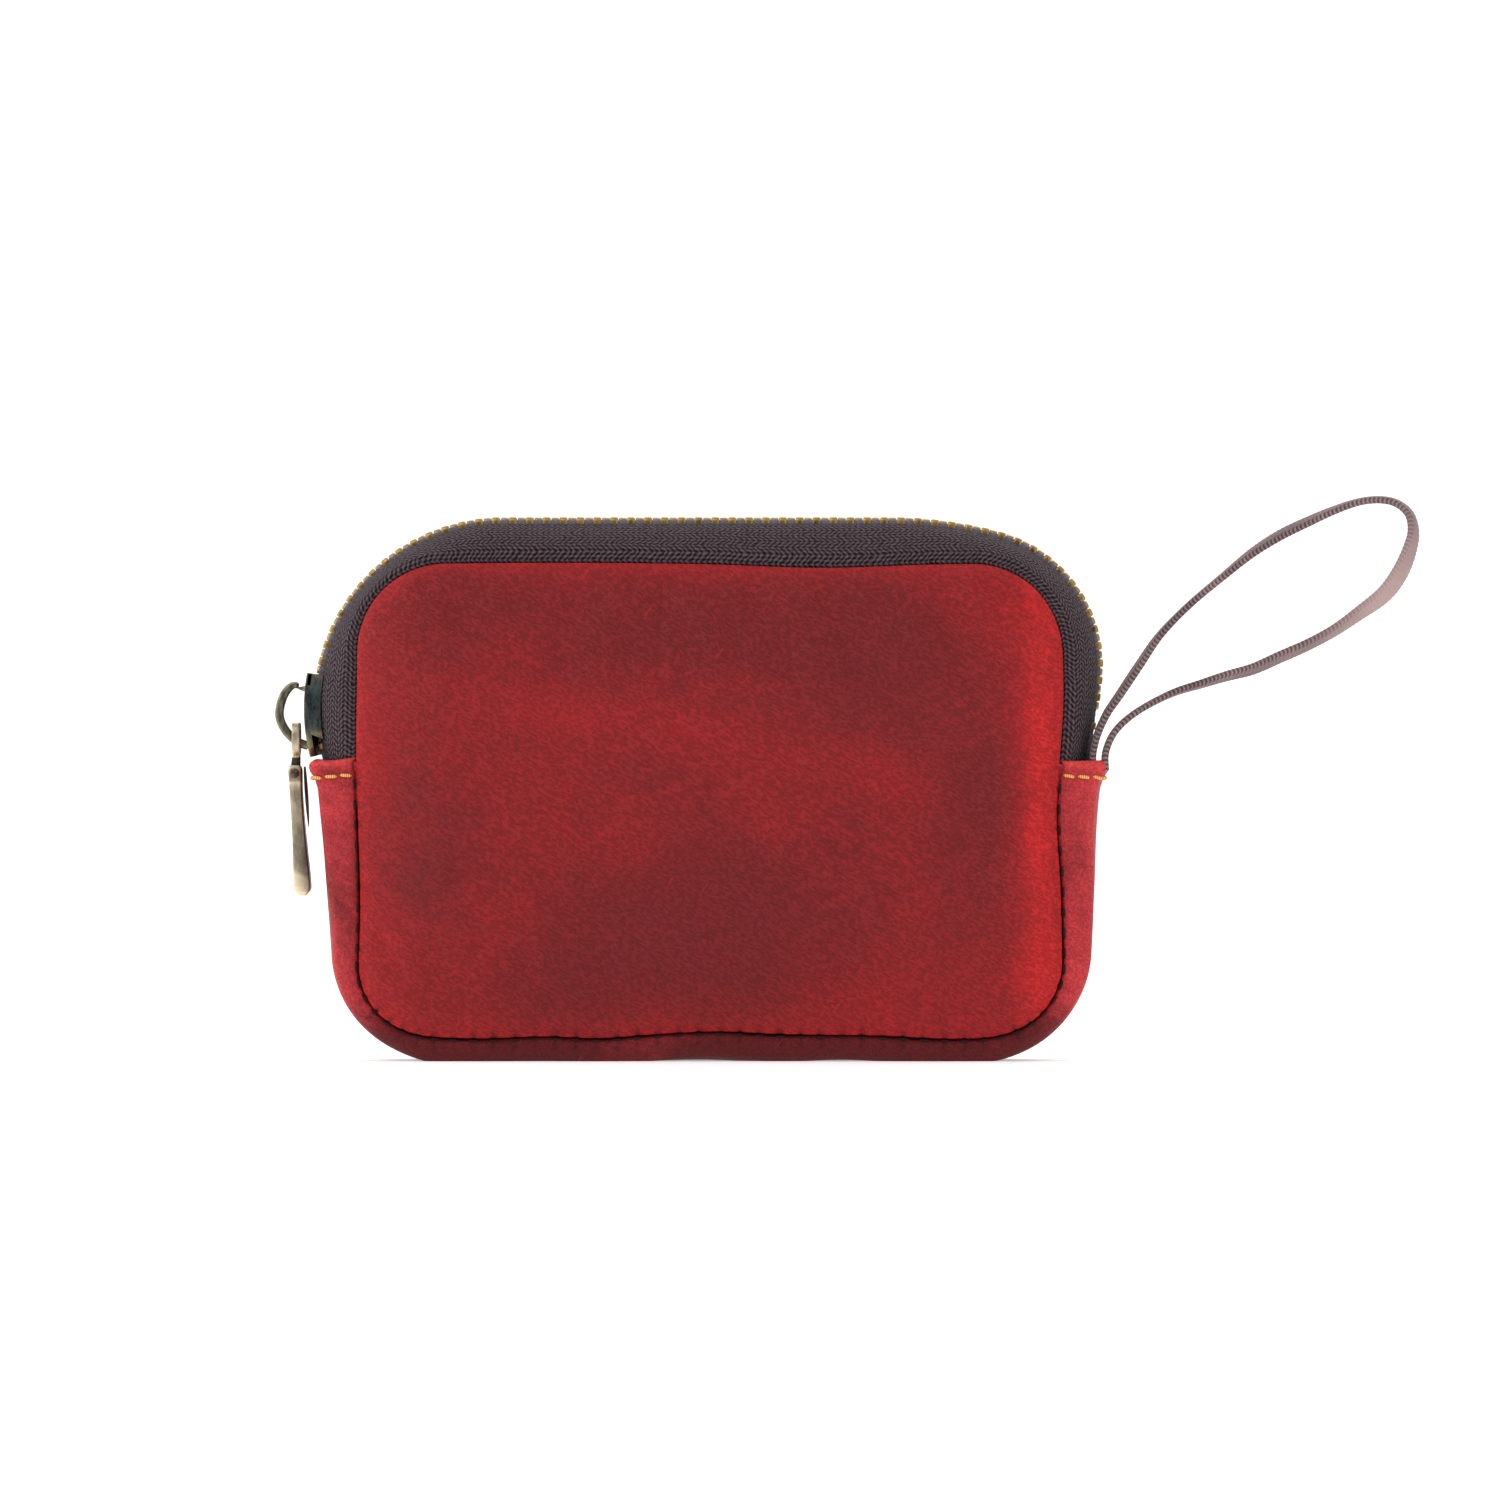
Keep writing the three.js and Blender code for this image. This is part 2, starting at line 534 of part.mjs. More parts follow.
// A thin pointed leaf, the link's inner leg, which lies behind the tab.
function pullLeaf() {
  const top = RIVET.y + LEAF_ABOVE_RIVET;
  const x = RIVET.x + TAB_TOP_THICKNESS / 2 + FINE_GAP;
  const lean = (LEAF_LENGTH / TAB_LENGTH) * (TAB_LEAN + (TAB_END_THICKNESS - TAB_TOP_THICKNESS) / 2);
  const shape = new THREE.Shape();
  shape.moveTo(x, top);
  shape.lineTo(x + LEAF_THICKNESS, top);
  shape.lineTo(x + LEAF_THICKNESS + lean, top - LEAF_LENGTH);
  shape.lineTo(x + LEAF_THICKNESS / 2 + lean, top - LEAF_LENGTH);
  shape.closePath();
  return across(shape, -LEAF_HALF_WIDTH, LEAF_HALF_WIDTH);
}

function pullRivet() {
  const half = LINK_WIDTH / 2;
  const shank = pin(RIVET.x, RIVET.y, RIVET_RADIUS, -half - FINE_GAP, half + FINE_GAP);
  const heads = [-1, 1].map((side) => {
    const under = half + FINE_GAP;
    const ends = [side * under, side * (under + RIVET_HEAD_HEIGHT)].sort((a, b) => a - b);
    return pin(RIVET.x, RIVET.y, RIVET_HEAD_RADIUS, ends[0], ends[1]);
  });
  return geometryFrom(heads.reduce((solid, head) => solid.add(solidFrom(head)), solidFrom(shank)));
}

// A bar that is forked at the top for the lug and thicker and wider at its end.
function pullTab() {
  const top = RIVET.y + TAB_ABOVE_RIVET;
  const low = top - TAB_LENGTH;
  const corner = TAB_END_WIDTH / 2 - TAB_CORNER;
  const belly = low + TAB_END_BELLY;
  const side = new THREE.Shape();
  side.moveTo(RIVET.x - TAB_TOP_THICKNESS / 2, top);
  const end = RIVET.x + TAB_LEAN;
  side.lineTo(end - TAB_END_THICKNESS / 2, belly);
  side.quadraticCurveTo(end, low - TAB_END_BELLY, end + TAB_END_THICKNESS / 2, belly);
  side.lineTo(RIVET.x + TAB_TOP_THICKNESS / 2, top);
  side.closePath();
  const face = new THREE.Shape();
  face.moveTo(-LINK_WIDTH / 2, top + 1);
  face.lineTo(-TAB_END_WIDTH / 2, low + TAB_CORNER);
  face.quadraticCurveTo(-TAB_END_WIDTH / 2, low, -corner, low);
  face.lineTo(corner, low);
  face.quadraticCurveTo(TAB_END_WIDTH / 2, low, TAB_END_WIDTH / 2, low + TAB_CORNER);
  face.lineTo(LINK_WIDTH / 2, top + 1);
  face.closePath();
  const bar = solidFrom(across(side, -TAB_END_WIDTH, TAB_END_WIDTH)).intersect(
    solidFrom(along(face, RIVET.x - TAB_LENGTH, RIVET.x + TAB_LENGTH)),
  );
  const slotHalf = LUG_WIDTH / 2 + GAP;
  const slotLow = RIVET.y - TAB_TOP_THICKNESS / 2 - SLOT_ROOM;
  const reach = 2 * TAB_TOP_THICKNESS;
  const slot = across(rectangle(RIVET.x - reach, slotLow, RIVET.x + reach, top + 1), -slotHalf, slotHalf);
  const hole = pin(RIVET.x, RIVET.y, RIVET_RADIUS + FINE_GAP, -LINK_WIDTH, LINK_WIDTH);
  return geometryFrom(bar.subtract(solidFrom(slot)).subtract(solidFrom(hole)));
}

// ---- Braid and threads ----

function wristLoop() {
  const section = new THREE.Shape();
  const [w, t, cut] = [BRAID_WIDTH / 2, BRAID_THICKNESS / 2, BRAID_THICKNESS / 4];
  section.moveTo(-w, cut - t);
  section.lineTo(cut - w, -t);
  section.lineTo(w - cut, -t);
  section.lineTo(w, cut - t);
  section.lineTo(w, t - cut);
  section.lineTo(w - cut, t);
  section.lineTo(cut - w, t);
  section.lineTo(-w, t - cut);
  section.closePath();
  return tube(LOOP_ROUTE.map((point) => new THREE.Vector3(...point)), section, BRAID_STEPS);
}

// The thread that lies in the gutter between a panel and the gusset.
function seamThread(side) {
  const length = gussetPath.getLength();
  const depth = side * (SEAM_Y + GAP + THREAD_RADIUS);
  const stations = stationsAlong(gussetPath, 5, HEM_STITCH, length - HEM_STITCH);
  const points = stations.map((station) => fromSeam(station, SEAM_THREAD_OUT, depth));
  return tube(points, polygon(6, THREAD_RADIUS), 60);
}

// The thread across a hem, just off the leather.
function hemThread(distance) {
  const station = stationAt(gussetPath, distance);
  const shares = [-0.93, -0.86, -0.78, -0.5, 0, 0.5, 0.78, 0.86, 0.93];
  const points = shares.map((v) => fromSeam(station, gussetFace(station, v) + HEM_THREAD_OFF, v * SEAM_Y));
  return tube(points, polygon(6, THREAD_RADIUS), 16);
}

// ---- The assembly ----

function finish(color, roughness, metalness = 0) {
  return new THREE.MeshStandardMaterial({ color, roughness, metalness });
}

const part = new THREE.Group();

function addPiece(name, geometry, material) {
  const mesh = new THREE.Mesh(geometry, material);
  mesh.name = name;
  part.add(mesh);
}

const TOP_STOP_AT = ARC_LENGTH_BELOW_SIDE + ZIP_LEFT_RADIUS * SLIDER_LOW + STOP_SETBACK;
const BOTTOM_STOP_AT = TEETH_END + GAP;

addPiece("gusset", gusset(), finish(0x96343a, 0.7));
for (const [side, name] of [[-1, "front"], [1, "back"]]) {
  addPiece(name + "_panel", panel(side), finish(0x8f2829, 0.6));
  addPiece("zip_tape_" + name, tape(side), finish(0x473e41, 0.9));
  addPiece("zip_teeth_" + name, teeth(side), finish(0x86673a, 0.35, 1));
  const ends = [side * (DIVIDER_WIDTH / 2 + GAP), side * BEAD_OUTER].sort((a, b) => a - b);
  addPiece("top_stop_" + name, stop(TOP_STOP_AT, ends[0], ends[1]), finish(0x86673a, 0.35, 1));
  addPiece("seam_thread_" + name, seamThread(side), finish(0x3a1416, 0.9));
}
addPiece("bottom_stop", stop(BOTTOM_STOP_AT, -BEAD_OUTER, BEAD_OUTER), finish(0x86673a, 0.35, 1));
addPiece("slider_body", sliderBody(), finish(0x2b3336, 0.3, 1));
addPiece("slider_crown", crown(), finish(0x7d7760, 0.35, 1));
addPiece("pull_link", pullLink(), finish(0x96886a, 0.35, 1));
addPiece("pull_leaf", pullLeaf(), finish(0x3b352b, 0.4, 1));
addPiece("pull_rivet", pullRivet(), finish(0x5c543f, 0.35, 1));
addPiece("pull_tab", pullTab(), finish(0x96886a, 0.35, 1));
addPiece("wrist_loop", wristLoop(), finish(0x786464, 0.85));
addPiece("hem_thread_right", hemThread(HEM_STITCH), finish(0xe0a850, 0.8));
addPiece("hem_thread_left", hemThread(gussetPath.getLength() - HEM_STITCH), finish(0xe0a850, 0.8));

export default part;
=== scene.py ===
import math

import bmesh
import bpy
import numpy as np
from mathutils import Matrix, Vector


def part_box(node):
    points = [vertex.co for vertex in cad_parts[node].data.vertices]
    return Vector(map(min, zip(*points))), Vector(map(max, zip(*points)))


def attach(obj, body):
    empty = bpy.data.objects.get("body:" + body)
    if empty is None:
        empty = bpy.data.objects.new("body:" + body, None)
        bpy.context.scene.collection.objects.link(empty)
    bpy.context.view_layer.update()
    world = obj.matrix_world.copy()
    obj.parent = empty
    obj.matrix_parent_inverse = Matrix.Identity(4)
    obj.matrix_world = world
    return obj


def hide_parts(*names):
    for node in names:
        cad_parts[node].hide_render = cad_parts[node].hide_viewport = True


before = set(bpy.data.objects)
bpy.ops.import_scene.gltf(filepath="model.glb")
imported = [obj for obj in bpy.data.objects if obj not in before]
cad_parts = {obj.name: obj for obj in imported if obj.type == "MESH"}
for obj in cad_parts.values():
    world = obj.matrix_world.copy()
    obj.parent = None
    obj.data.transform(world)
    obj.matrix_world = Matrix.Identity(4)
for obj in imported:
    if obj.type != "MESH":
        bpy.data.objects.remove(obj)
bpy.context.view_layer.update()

MM = 0.001


def box_mm(node):
    low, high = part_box(node)
    return np.array(low) / MM, np.array(high) / MM


# ---- Sizes ----

PANEL_LOW, PANEL_HIGH = box_mm("front_panel")
TAPE_LOW, TAPE_HIGH = box_mm("zip_tape_front")
HALF_WIDTH = PANEL_HIGH[0]
PANEL_MIDDLE = (PANEL_LOW[2] + PANEL_HIGH[2]) / 2
PANEL_HALF_HEIGHT = (PANEL_HIGH[2] - PANEL_LOW[2]) / 2
SEAM_Y = box_mm("gusset")[1][1]
PUFF = -PANEL_LOW[1] - SEAM_Y

GAP = 0.3
PANEL_TOP_RADIUS = 13.5
PANEL_BASE_RADIUS = 11
PANEL_ROLL = 3.4
PANEL_LEATHER = 1.2

GUSSET_LEATHER = 1.3
GUSSET_RADIUS = 17
GUSSET_TOP = {"left": 6.3, "right": 6.1}
GUSSET_BASE = {"left": 2.7, "right": 3.5}
BASE_FLAT = 0.7
HEM_HEIGHT = 45.5
HEM_FLARE = 1.1
HEM_STITCH = 2.6
HEM_FOLD = 1.05
FLARE_FROM = -4.5
FLARE_TO = -0.8
HEM_PITCH = 2.35

ZIP_LEFT_RADIUS = 28
ZIP_RIGHT_RADIUS = 20.2
ZIP_RIGHT_REACH = 5.5
SHOULDER_RADIUS = 63
SHOULDER_TURN = math.radians(15)
RIGHT_TURN_IN = math.radians(6.6)
ARC_CENTRE = np.array([TAPE_LOW[0] + ZIP_LEFT_RADIUS, TAPE_HIGH[2] - ZIP_LEFT_RADIUS])
ZIP_LOW = TAPE_LOW[2]
TAPE_THICKNESS = 0.5
TAPE_INNER = 2.1
TOOTH_PITCH = 2.56
BOTTOM_STOP_RISE = 4.7
STOP_LENGTH = 1.2
BEAD_MIDDLE = 1.65
BEAD_RADIUS = 0.5

STITCH_PITCH = 3.1
STITCH_LENGTH = 1.6
SEAM_END = 4

# the slider, in radii round the arc's centre and in angles up from its side
PLATE_INNER = ZIP_LEFT_RADIUS + 1.25
PLATE_OUTER = ZIP_LEFT_RADIUS + 2.3
LOWER_PLATE_INNER = ZIP_LEFT_RADIUS - 2.55
LOWER_PLATE_OUTER = ZIP_LEFT_RADIUS - 1.5
FLANGE_INNER = ZIP_LEFT_RADIUS - 0.45
SLIDER_LIFT = -1
SLIDER_HALF_LENGTH = 6
DIVIDER_LENGTH = 3
SLIDER_LOW = (SLIDER_LIFT - SLIDER_HALF_LENGTH) / ZIP_LEFT_RADIUS
SLIDER_HIGH = (SLIDER_LIFT + SLIDER_HALF_LENGTH) / ZIP_LEFT_RADIUS
FLANGE_LOW = -3.9 / ZIP_LEFT_RADIUS
DIVIDER_HIGH = SLIDER_LOW + DIVIDER_LENGTH / ZIP_LEFT_RADIUS
SLIDER_HALF_WIDTH = box_mm("slider_body")[1][1]
SLIDER_Z = ARC_CENTRE[1] + SLIDER_LIFT
PIVOT_OUT = 1.15
PIVOT_DROP = 1.9
PIVOT = np.array([ARC_CENTRE[0] - PLATE_OUTER - PIVOT_OUT, SLIDER_Z - PIVOT_DROP])
RIVET_FROM_PIVOT = np.array([-0.2, -7])
RIVET = PIVOT + RIVET_FROM_PIVOT
LINK_LENGTH = 5.1
TAB_LEAN = 1.2

# the wrist loop's middle line, in metres
LOOP_ROUTE = [
    (0.0581, -0.005, 0.0466), (0.0588, -0.0049, 0.0495), (0.0602, -0.0047, 0.0526),
    (0.0621, -0.0043, 0.0554), (0.0651, -0.0036, 0.0599), (0.0683, -0.0027, 0.0645),
    (0.0728, -0.0017, 0.0691), (0.0784, -0.0008, 0.0738), (0.0825, -0.0003, 0.0771),
    (0.0866, 0, 0.0797), (0.0907, 0, 0.0817), (0.0948, 0, 0.0835), (0.0987, 0, 0.0848),
    (0.102, 0, 0.0851), (0.1045, 0, 0.0845), (0.1063, 0, 0.0829), (0.1069, 0, 0.0804),
    (0.1064, 0, 0.0777), (0.1049, 0, 0.0741), (0.1025, 0, 0.0708), (0.0987, 0, 0.0679),
    (0.0948, 0, 0.0652), (0.0907, 0, 0.063), (0.0866, -0.0001, 0.0612), (0.0825, -0.0005, 0.0594),
    (0.0784, -0.0012, 0.0583), (0.0745, -0.002, 0.0571), (0.0704, -0.0029, 0.0558),
    (0.0663, -0.0038, 0.0538), (0.0632, -0.0045, 0.0517), (0.0611, -0.0049, 0.0494),
    (0.06, -0.005, 0.0466),
]
LOOP_TUCK = 2.6
BRAID_WIDTH = 5
BRAID_THICKNESS = 1.1


# ---- Camera ----

def make_camera():
    distance = 2.0
    view_width = 0.22727  # across the frame, at the front seam
    front_seam = 0.005
    data = bpy.data.cameras.new("camera")
    data.sensor_width = 36
    data.lens = data.sensor_width * (distance - front_seam) / view_width
    data.clip_start = 0.01
    data.clip_end = 50
    camera = bpy.data.objects.new("camera", data)
    camera.location = (0.00614, -distance, 0.0471)
    camera.rotation_euler = (math.pi / 2, 0, 0)
    bpy.context.scene.collection.objects.link(camera)
    bpy.context.scene.camera = camera


make_camera()


# ---- Meshes ----

class Shape:
    """Points in millimetres and faces, to which solids are added one at a time."""

    def __init__(self):
        self.points = []
        self.faces = []
        self.count = 0

    def add(self, points, faces):
        points = np.asarray(points, float).reshape(-1, 3)
        self.points.append(points)
        self.faces += [[int(i) + self.count for i in face] for face in faces]
        self.count += len(points)

    def loft(self, rings):
        """A closed solid through rings of equal length, with flat ends."""
        rings = np.asarray(rings, float)
        rows, columns = rings.shape[:2]
        ends = [list(range(columns))[::-1], list(range((rows - 1) * columns, rows * columns))]
        self.add(rings, grid_faces(rows, columns, wrap_columns=True) + ends)

    def ring(self, rings):
        """A closed solid through rings that come back to the first one."""
        rows, columns = rings.shape[:2]
        self.add(rings, grid_faces(rows, columns, wrap_rows=True, wrap_columns=True))


def grid_faces(rows, columns, wrap_rows=False, wrap_columns=False):
    r = np.arange(rows if wrap_rows else rows - 1)[:, None]
    c = np.arange(columns if wrap_columns else columns - 1)[None, :]
    corners = [(r, c), (r, c + 1), (r + 1, c + 1), (r + 1, c)]
    index = [(a % rows) * columns + b % columns for a, b in corners]
    return np.stack(np.broadcast_arrays(*index), axis=-1).reshape(-1, 4).tolist()


def piece(name, shape, material, values=None, uv=None):
    """A mesh object from a shape, with per-point values that its material reads and a map in millimetres."""
    points = np.concatenate(shape.points) * MM
    mesh = bpy.data.meshes.new(name)
    mesh.from_pydata(points.tolist(), [], shape.faces)
    mesh.polygons.foreach_set("use_smooth", [True] * len(mesh.polygons))
    mesh.materials.append(material)
    for key, numbers in (values or {}).items():
        layer = mesh.attributes.new(key, "FLOAT", "POINT")
        layer.data.foreach_set("value", np.asarray(numbers, np.float32).ravel())
    if uv is not None:
        corners = np.empty(len(mesh.loops), int)
        mesh.loops.foreach_get("vertex_index", corners)
        layer = mesh.uv_layers.new(name="cloth")
        layer.data.foreach_set("uv", np.asarray(uv, np.float32).reshape(-1, 2)[corners].ravel())
    mesh.update()
    obj = bpy.data.objects.new(name, mesh)
    bpy.context.scene.collection.objects.link(obj)
    return obj


def face_outwards(obj):
    mesh = bmesh.new()
    mesh.from_mesh(obj.data)
    bmesh.ops.recalc_face_normals(mesh, faces=mesh.faces)
    mesh.to_mesh(obj.data)
    mesh.free()


def apply_modifiers(obj):
    """Replaces the mesh with what its modifiers make of it."""
    depsgraph = bpy.context.evaluated_depsgraph_get()
    made = bpy.data.meshes.new_from_object(obj.evaluated_get(depsgraph), depsgraph=depsgraph)
    obj.modifiers.clear()
    obj.data = made


def thicken(obj, thickness, offset=-1):
    solid = obj.modifiers.new("thickness", "SOLIDIFY")
    solid.thickness = thickness * MM
    solid.offset = offset


def subdivide(obj, levels=1):
    smooth = obj.modifiers.new("smooth", "SUBSURF")
    smooth.levels = levels
    smooth.render_levels = levels


def soften_edges(obj, width, segments=3):
    bevel = obj.modifiers.new("edges", "BEVEL")
    bevel.width = width * MM
    bevel.segments = segments
    bevel.limit_method = "ANGLE"
    bevel.angle_limit = math.radians(35)
    weighted = obj.modifiers.new("normals", "WEIGHTED_NORMAL")
    weighted.keep_sharp = False


def stand_for(obj, body, slot, *nodes):
    """The piece rides on a body and stands for CAD nodes, which it hides. The argument slot is not used."""
    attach(obj, body)
    if nodes:
        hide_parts(*nodes)


def show(obj, body, slot, *nodes):
    """A closed piece with nothing left to change: its faces turn outwards, and it takes its place."""
    face_outwards(obj)
    stand_for(obj, body, slot, *nodes)


# ---- Shader nodes ----

class Finish:
    """A material, with short ways to add nodes to it."""

    def __init__(self, name):
        self.material = bpy.data.materials.new(name)
        self.material.use_nodes = True
        self.tree = self.material.node_tree
        self.shader = self.tree.nodes["Principled BSDF"]

    def node(self, kind, inputs=None, **settings):
        made = self.tree.nodes.new("ShaderNode" + kind)
        for key, value in settings.items():
            setattr(made, key, value)
        for key, value in (inputs or {}).items():
            self.put(made.inputs[key], value)
        return made

    def put(self, socket, value):
        if isinstance(value, bpy.types.NodeSocket):
            self.tree.links.new(value, socket)
        else:
            socket.default_value = value

    def set(self, **inputs):
        for key, value in inputs.items():
            self.put(self.shader.inputs[key.replace("_", " ")], value)

    def math(self, operation, a, b=0.0, clamp=False):
        return self.node("Math", {0: a, 1: b}, operation=operation, use_clamp=clamp).outputs[0]

    def centred(self, value, size):
        """A value of 0 to 1 as one of this size about 0."""
        return self.math("MULTIPLY", self.math("SUBTRACT", value, 0.5), size)

    def value(self, name):
        return self.node("Attribute", attribute_name=name).outputs["Fac"]

    def place(self, scale=(1, 1, 1), rotation=(0, 0, 0)):
        """The piece's own coordinates, in millimetres before they are turned and scaled."""
        coordinates = self.node("TexCoord").outputs["Object"]
        turned = self.node("Mapping", {"Vector": coordinates, "Rotation": rotation})
        scaled = [s / MM for s in scale]
        return self.node("Mapping", {"Vector": turned.outputs[0], "Scale": scaled}).outputs[0]

    def noise(self, scale, vector, detail=3.0, roughness=0.5, distortion=0.0):
        inputs = {
            "Scale": scale, "Vector": vector, "Detail": detail,
            "Roughness": roughness, "Distortion": distortion,
        }
        return self.node("TexNoise", inputs).outputs["Fac"]

    def spread(self, value, low, high, to_low=0.0, to_high=1.0):
        """Value from low to high turned into to_low to to_high, smoothly and within them."""
        inputs = {"Value": value, 1: low, 2: high, 3: to_low, 4: to_high}
        return self.node("MapRange", inputs, interpolation_type="SMOOTHSTEP").outputs[0]

    def mix(self, share, a, b, blend="MIX"):
        made = self.node("Mix", data_type="RGBA", blend_type=blend)
        self.put(made.inputs["Factor"], share)
        self.put(made.inputs[6], a)
        self.put(made.inputs[7], b)
        return made.outputs[2]

    def bump(self, height, distance, strength=1.0, normal=None):
        """A bump whose height of 0 to 1 stands for a distance in millimetres."""
        inputs = {"Height": height, "Distance": distance * MM, "Strength": strength}
        made = self.node("Bump", inputs)
        if normal is not None:
            self.put(made.inputs["Normal"], normal)
        return made.outputs[0]


def colour(red, green, blue):
    """A screen colour of 0 to 255 as the linear one that shaders take."""
    return (*(((c / 255 + 0.055) / 1.055) ** 2.4 for c in (red, green, blue)), 1.0)


# ---- Materials ----

def pull_up_leather(name, dark, middle, bright, grain, grain_depth):
    """Waxed leather that goes lighter where it is stretched, by the value pull, which in places also carries
    painted highlight and painted shade. The value edge lightens edges, partly as stretched leather and partly
    as painted highlight, and the value shade paints shade.
    """
    leather = Finish(name)
    place = leather.place()
    slanted = leather.place((1, 1, 2.6), (0, math.radians(-28), 0))
    cloud = leather.noise(0.06, place, detail=4, roughness=0.6, distortion=0.5)
    streak = leather.noise(0.3, slanted, detail=4, roughness=0.6)
    wander = leather.centred(cloud, 0.75)
    fine = leather.centred(streak, 0.4)
    pull = leather.math("ADD", leather.value("pull"), leather.math("ADD", wander, fine))
    base = leather.mix(leather.spread(pull, 0.0, 0.6), dark, middle)
    base = leather.mix(leather.spread(pull, 0.5, 1.3), base, bright)
    # Painted highlight along edges by the value edge, partly stretched leather as well
    base = leather.mix(leather.math("MULTIPLY", leather.value("edge"), 0.7), base, bright)
    # Painted shade by the value shade
    base = leather.mix(leather.value("shade"), base, colour(38, 10, 12))
    pores = leather.noise(1.0, leather.place(grain, (0, math.radians(-30), 0)), detail=2, roughness=0.7)
    pits = leather.spread(pores, 0.38, 0.58)
    hollow = leather.math("MULTIPLY", leather.math("SUBTRACT", 1.0, pits), 0.42)
    base = leather.mix(hollow, base, colour(150, 90, 90), "MULTIPLY")
    scratch_place = leather.place((0.25, 0.25, 2.4), (0, math.radians(55), 0))
    scratches = leather.spread(leather.noise(0.5, scratch_place, detail=1), 0.74, 0.79)
    base = leather.mix(leather.math("MULTIPLY", scratches, 0.25), base, bright)
    rough = leather.spread(leather.math("ADD", pull, fine), -0.3, 1.2, 0.52, 0.68)
    creases = leather.noise(0.22, place, detail=5, roughness=0.6)
    normal = leather.bump(creases, 0.4, 0.45)
    normal = leather.bump(pits, grain_depth, 0.7, normal)
    leather.set(Base_Color=base, Roughness=rough, Normal=normal)
    leather.set(Specular_IOR_Level=0.18)
    return leather.material


def zip_tape_cloth():
    """Dark twill in narrow columns whose ribs slope to and fro."""
    tape = Finish("zip_tape_cloth")
    cloth_map = tape.node("UVMap", uv_map="cloth").outputs[0]
    parts = tape.node("SeparateXYZ", {0: cloth_map})
    along, across = parts.outputs[0], parts.outputs[1]
    waver = tape.math("MULTIPLY", tape.noise(0.9, cloth_map, detail=3), 1.3)
    zigzag = tape.math("MULTIPLY", tape.math("PINGPONG", across, 1.3), 1.1)
    phase = tape.math("ADD", tape.math("DIVIDE", along, 0.86), tape.math("ADD", zigzag, waver))
    rib = tape.math("SINE", tape.math("MULTIPLY", phase, math.tau))
    column = tape.math("COSINE", tape.math("MULTIPLY", across, math.tau / 0.62))
    weave = tape.math("ADD", tape.math("MULTIPLY", rib, 0.3), tape.math("MULTIPLY", column, 0.2))
    weave = tape.math("ADD", weave, 0.5)
    fuzz = tape.noise(2.2, cloth_map, detail=3, roughness=0.75)
    lightness = tape.math("ADD", tape.math("MULTIPLY", weave, 0.6), tape.math("MULTIPLY", fuzz, 0.6))
    base = tape.mix(tape.spread(lightness, 0.35, 0.95), colour(11, 8, 10), colour(98, 80, 86))
    # Painted highlight by the value edge, where the tape rises to the teeth and along the bead
    base = tape.mix(tape.math("MULTIPLY", tape.value("edge"), 0.75), base, colour(122, 118, 134))
    normal = tape.bump(weave, 0.18, 1.0)
    normal = tape.bump(fuzz, 0.06, 0.5, normal)
    tape.set(Base_Color=base, Roughness=tape.spread(fuzz, 0.3, 0.7, 0.8, 0.97), Normal=normal)
    tape.set(Specular_IOR_Level=0.15, Sheen_Weight=0.08, Sheen_Roughness=0.4)
    return tape.material


def braid_cloth():
    """Taupe braid whose strands rise and fall with the value rise. It is lighter by the value lit."""
    braid = Finish("braid_cloth")
    place = braid.place()
    fuzz = braid.math("SUBTRACT", braid.noise(4, place, detail=3, roughness=0.7), 0.5)
    drift = braid.math("SUBTRACT", braid.noise(0.15, place, detail=2), 0.5)
    lightness = braid.math("ADD", braid.value("rise"), braid.math("MULTIPLY", fuzz, 0.9))
    lightness = braid.math("ADD", lightness, braid.math("MULTIPLY", drift, 0.8))
    base = braid.mix(braid.spread(lightness, 0.0, 0.9), colour(72, 56, 58), colour(132, 110, 110))
    base = braid.mix(braid.spread(lightness, 0.8, 1.3), base, colour(170, 148, 144))
    base = braid.mix(braid.value("lit"), base, colour(206, 176, 172))
    braid.set(Base_Color=base, Roughness=0.85, Normal=braid.bump(fuzz, 0.08, 0.6))
    braid.set(Specular_IOR_Level=0.2, Sheen_Weight=0.15, Sheen_Roughness=0.4)
    return braid.material


def thread_finish(name, dark, light):
    """Waxed thread with a fine twist."""
    thread = Finish(name)
    waves = {"Scale": 1.1, "Distortion": 1.5, "Detail": 2.0, "Vector": thread.place((1, 1, 1.6))}
    strands = thread.node("TexWave", waves).outputs["Fac"]
    fuzz = thread.noise(3, thread.place(), detail=2)
    share = thread.math("ADD", thread.math("MULTIPLY", strands, 0.6), thread.math("MULTIPLY", fuzz, 0.4))
    normal = thread.bump(strands, 0.06, 0.7)
    thread.set(Base_Color=thread.mix(thread.spread(share, 0.15, 0.8), dark, light), Normal=normal)
    thread.set(Roughness=thread.spread(fuzz, 0.3, 0.7, 0.6, 0.8), Specular_IOR_Level=0.2)
    return thread.material


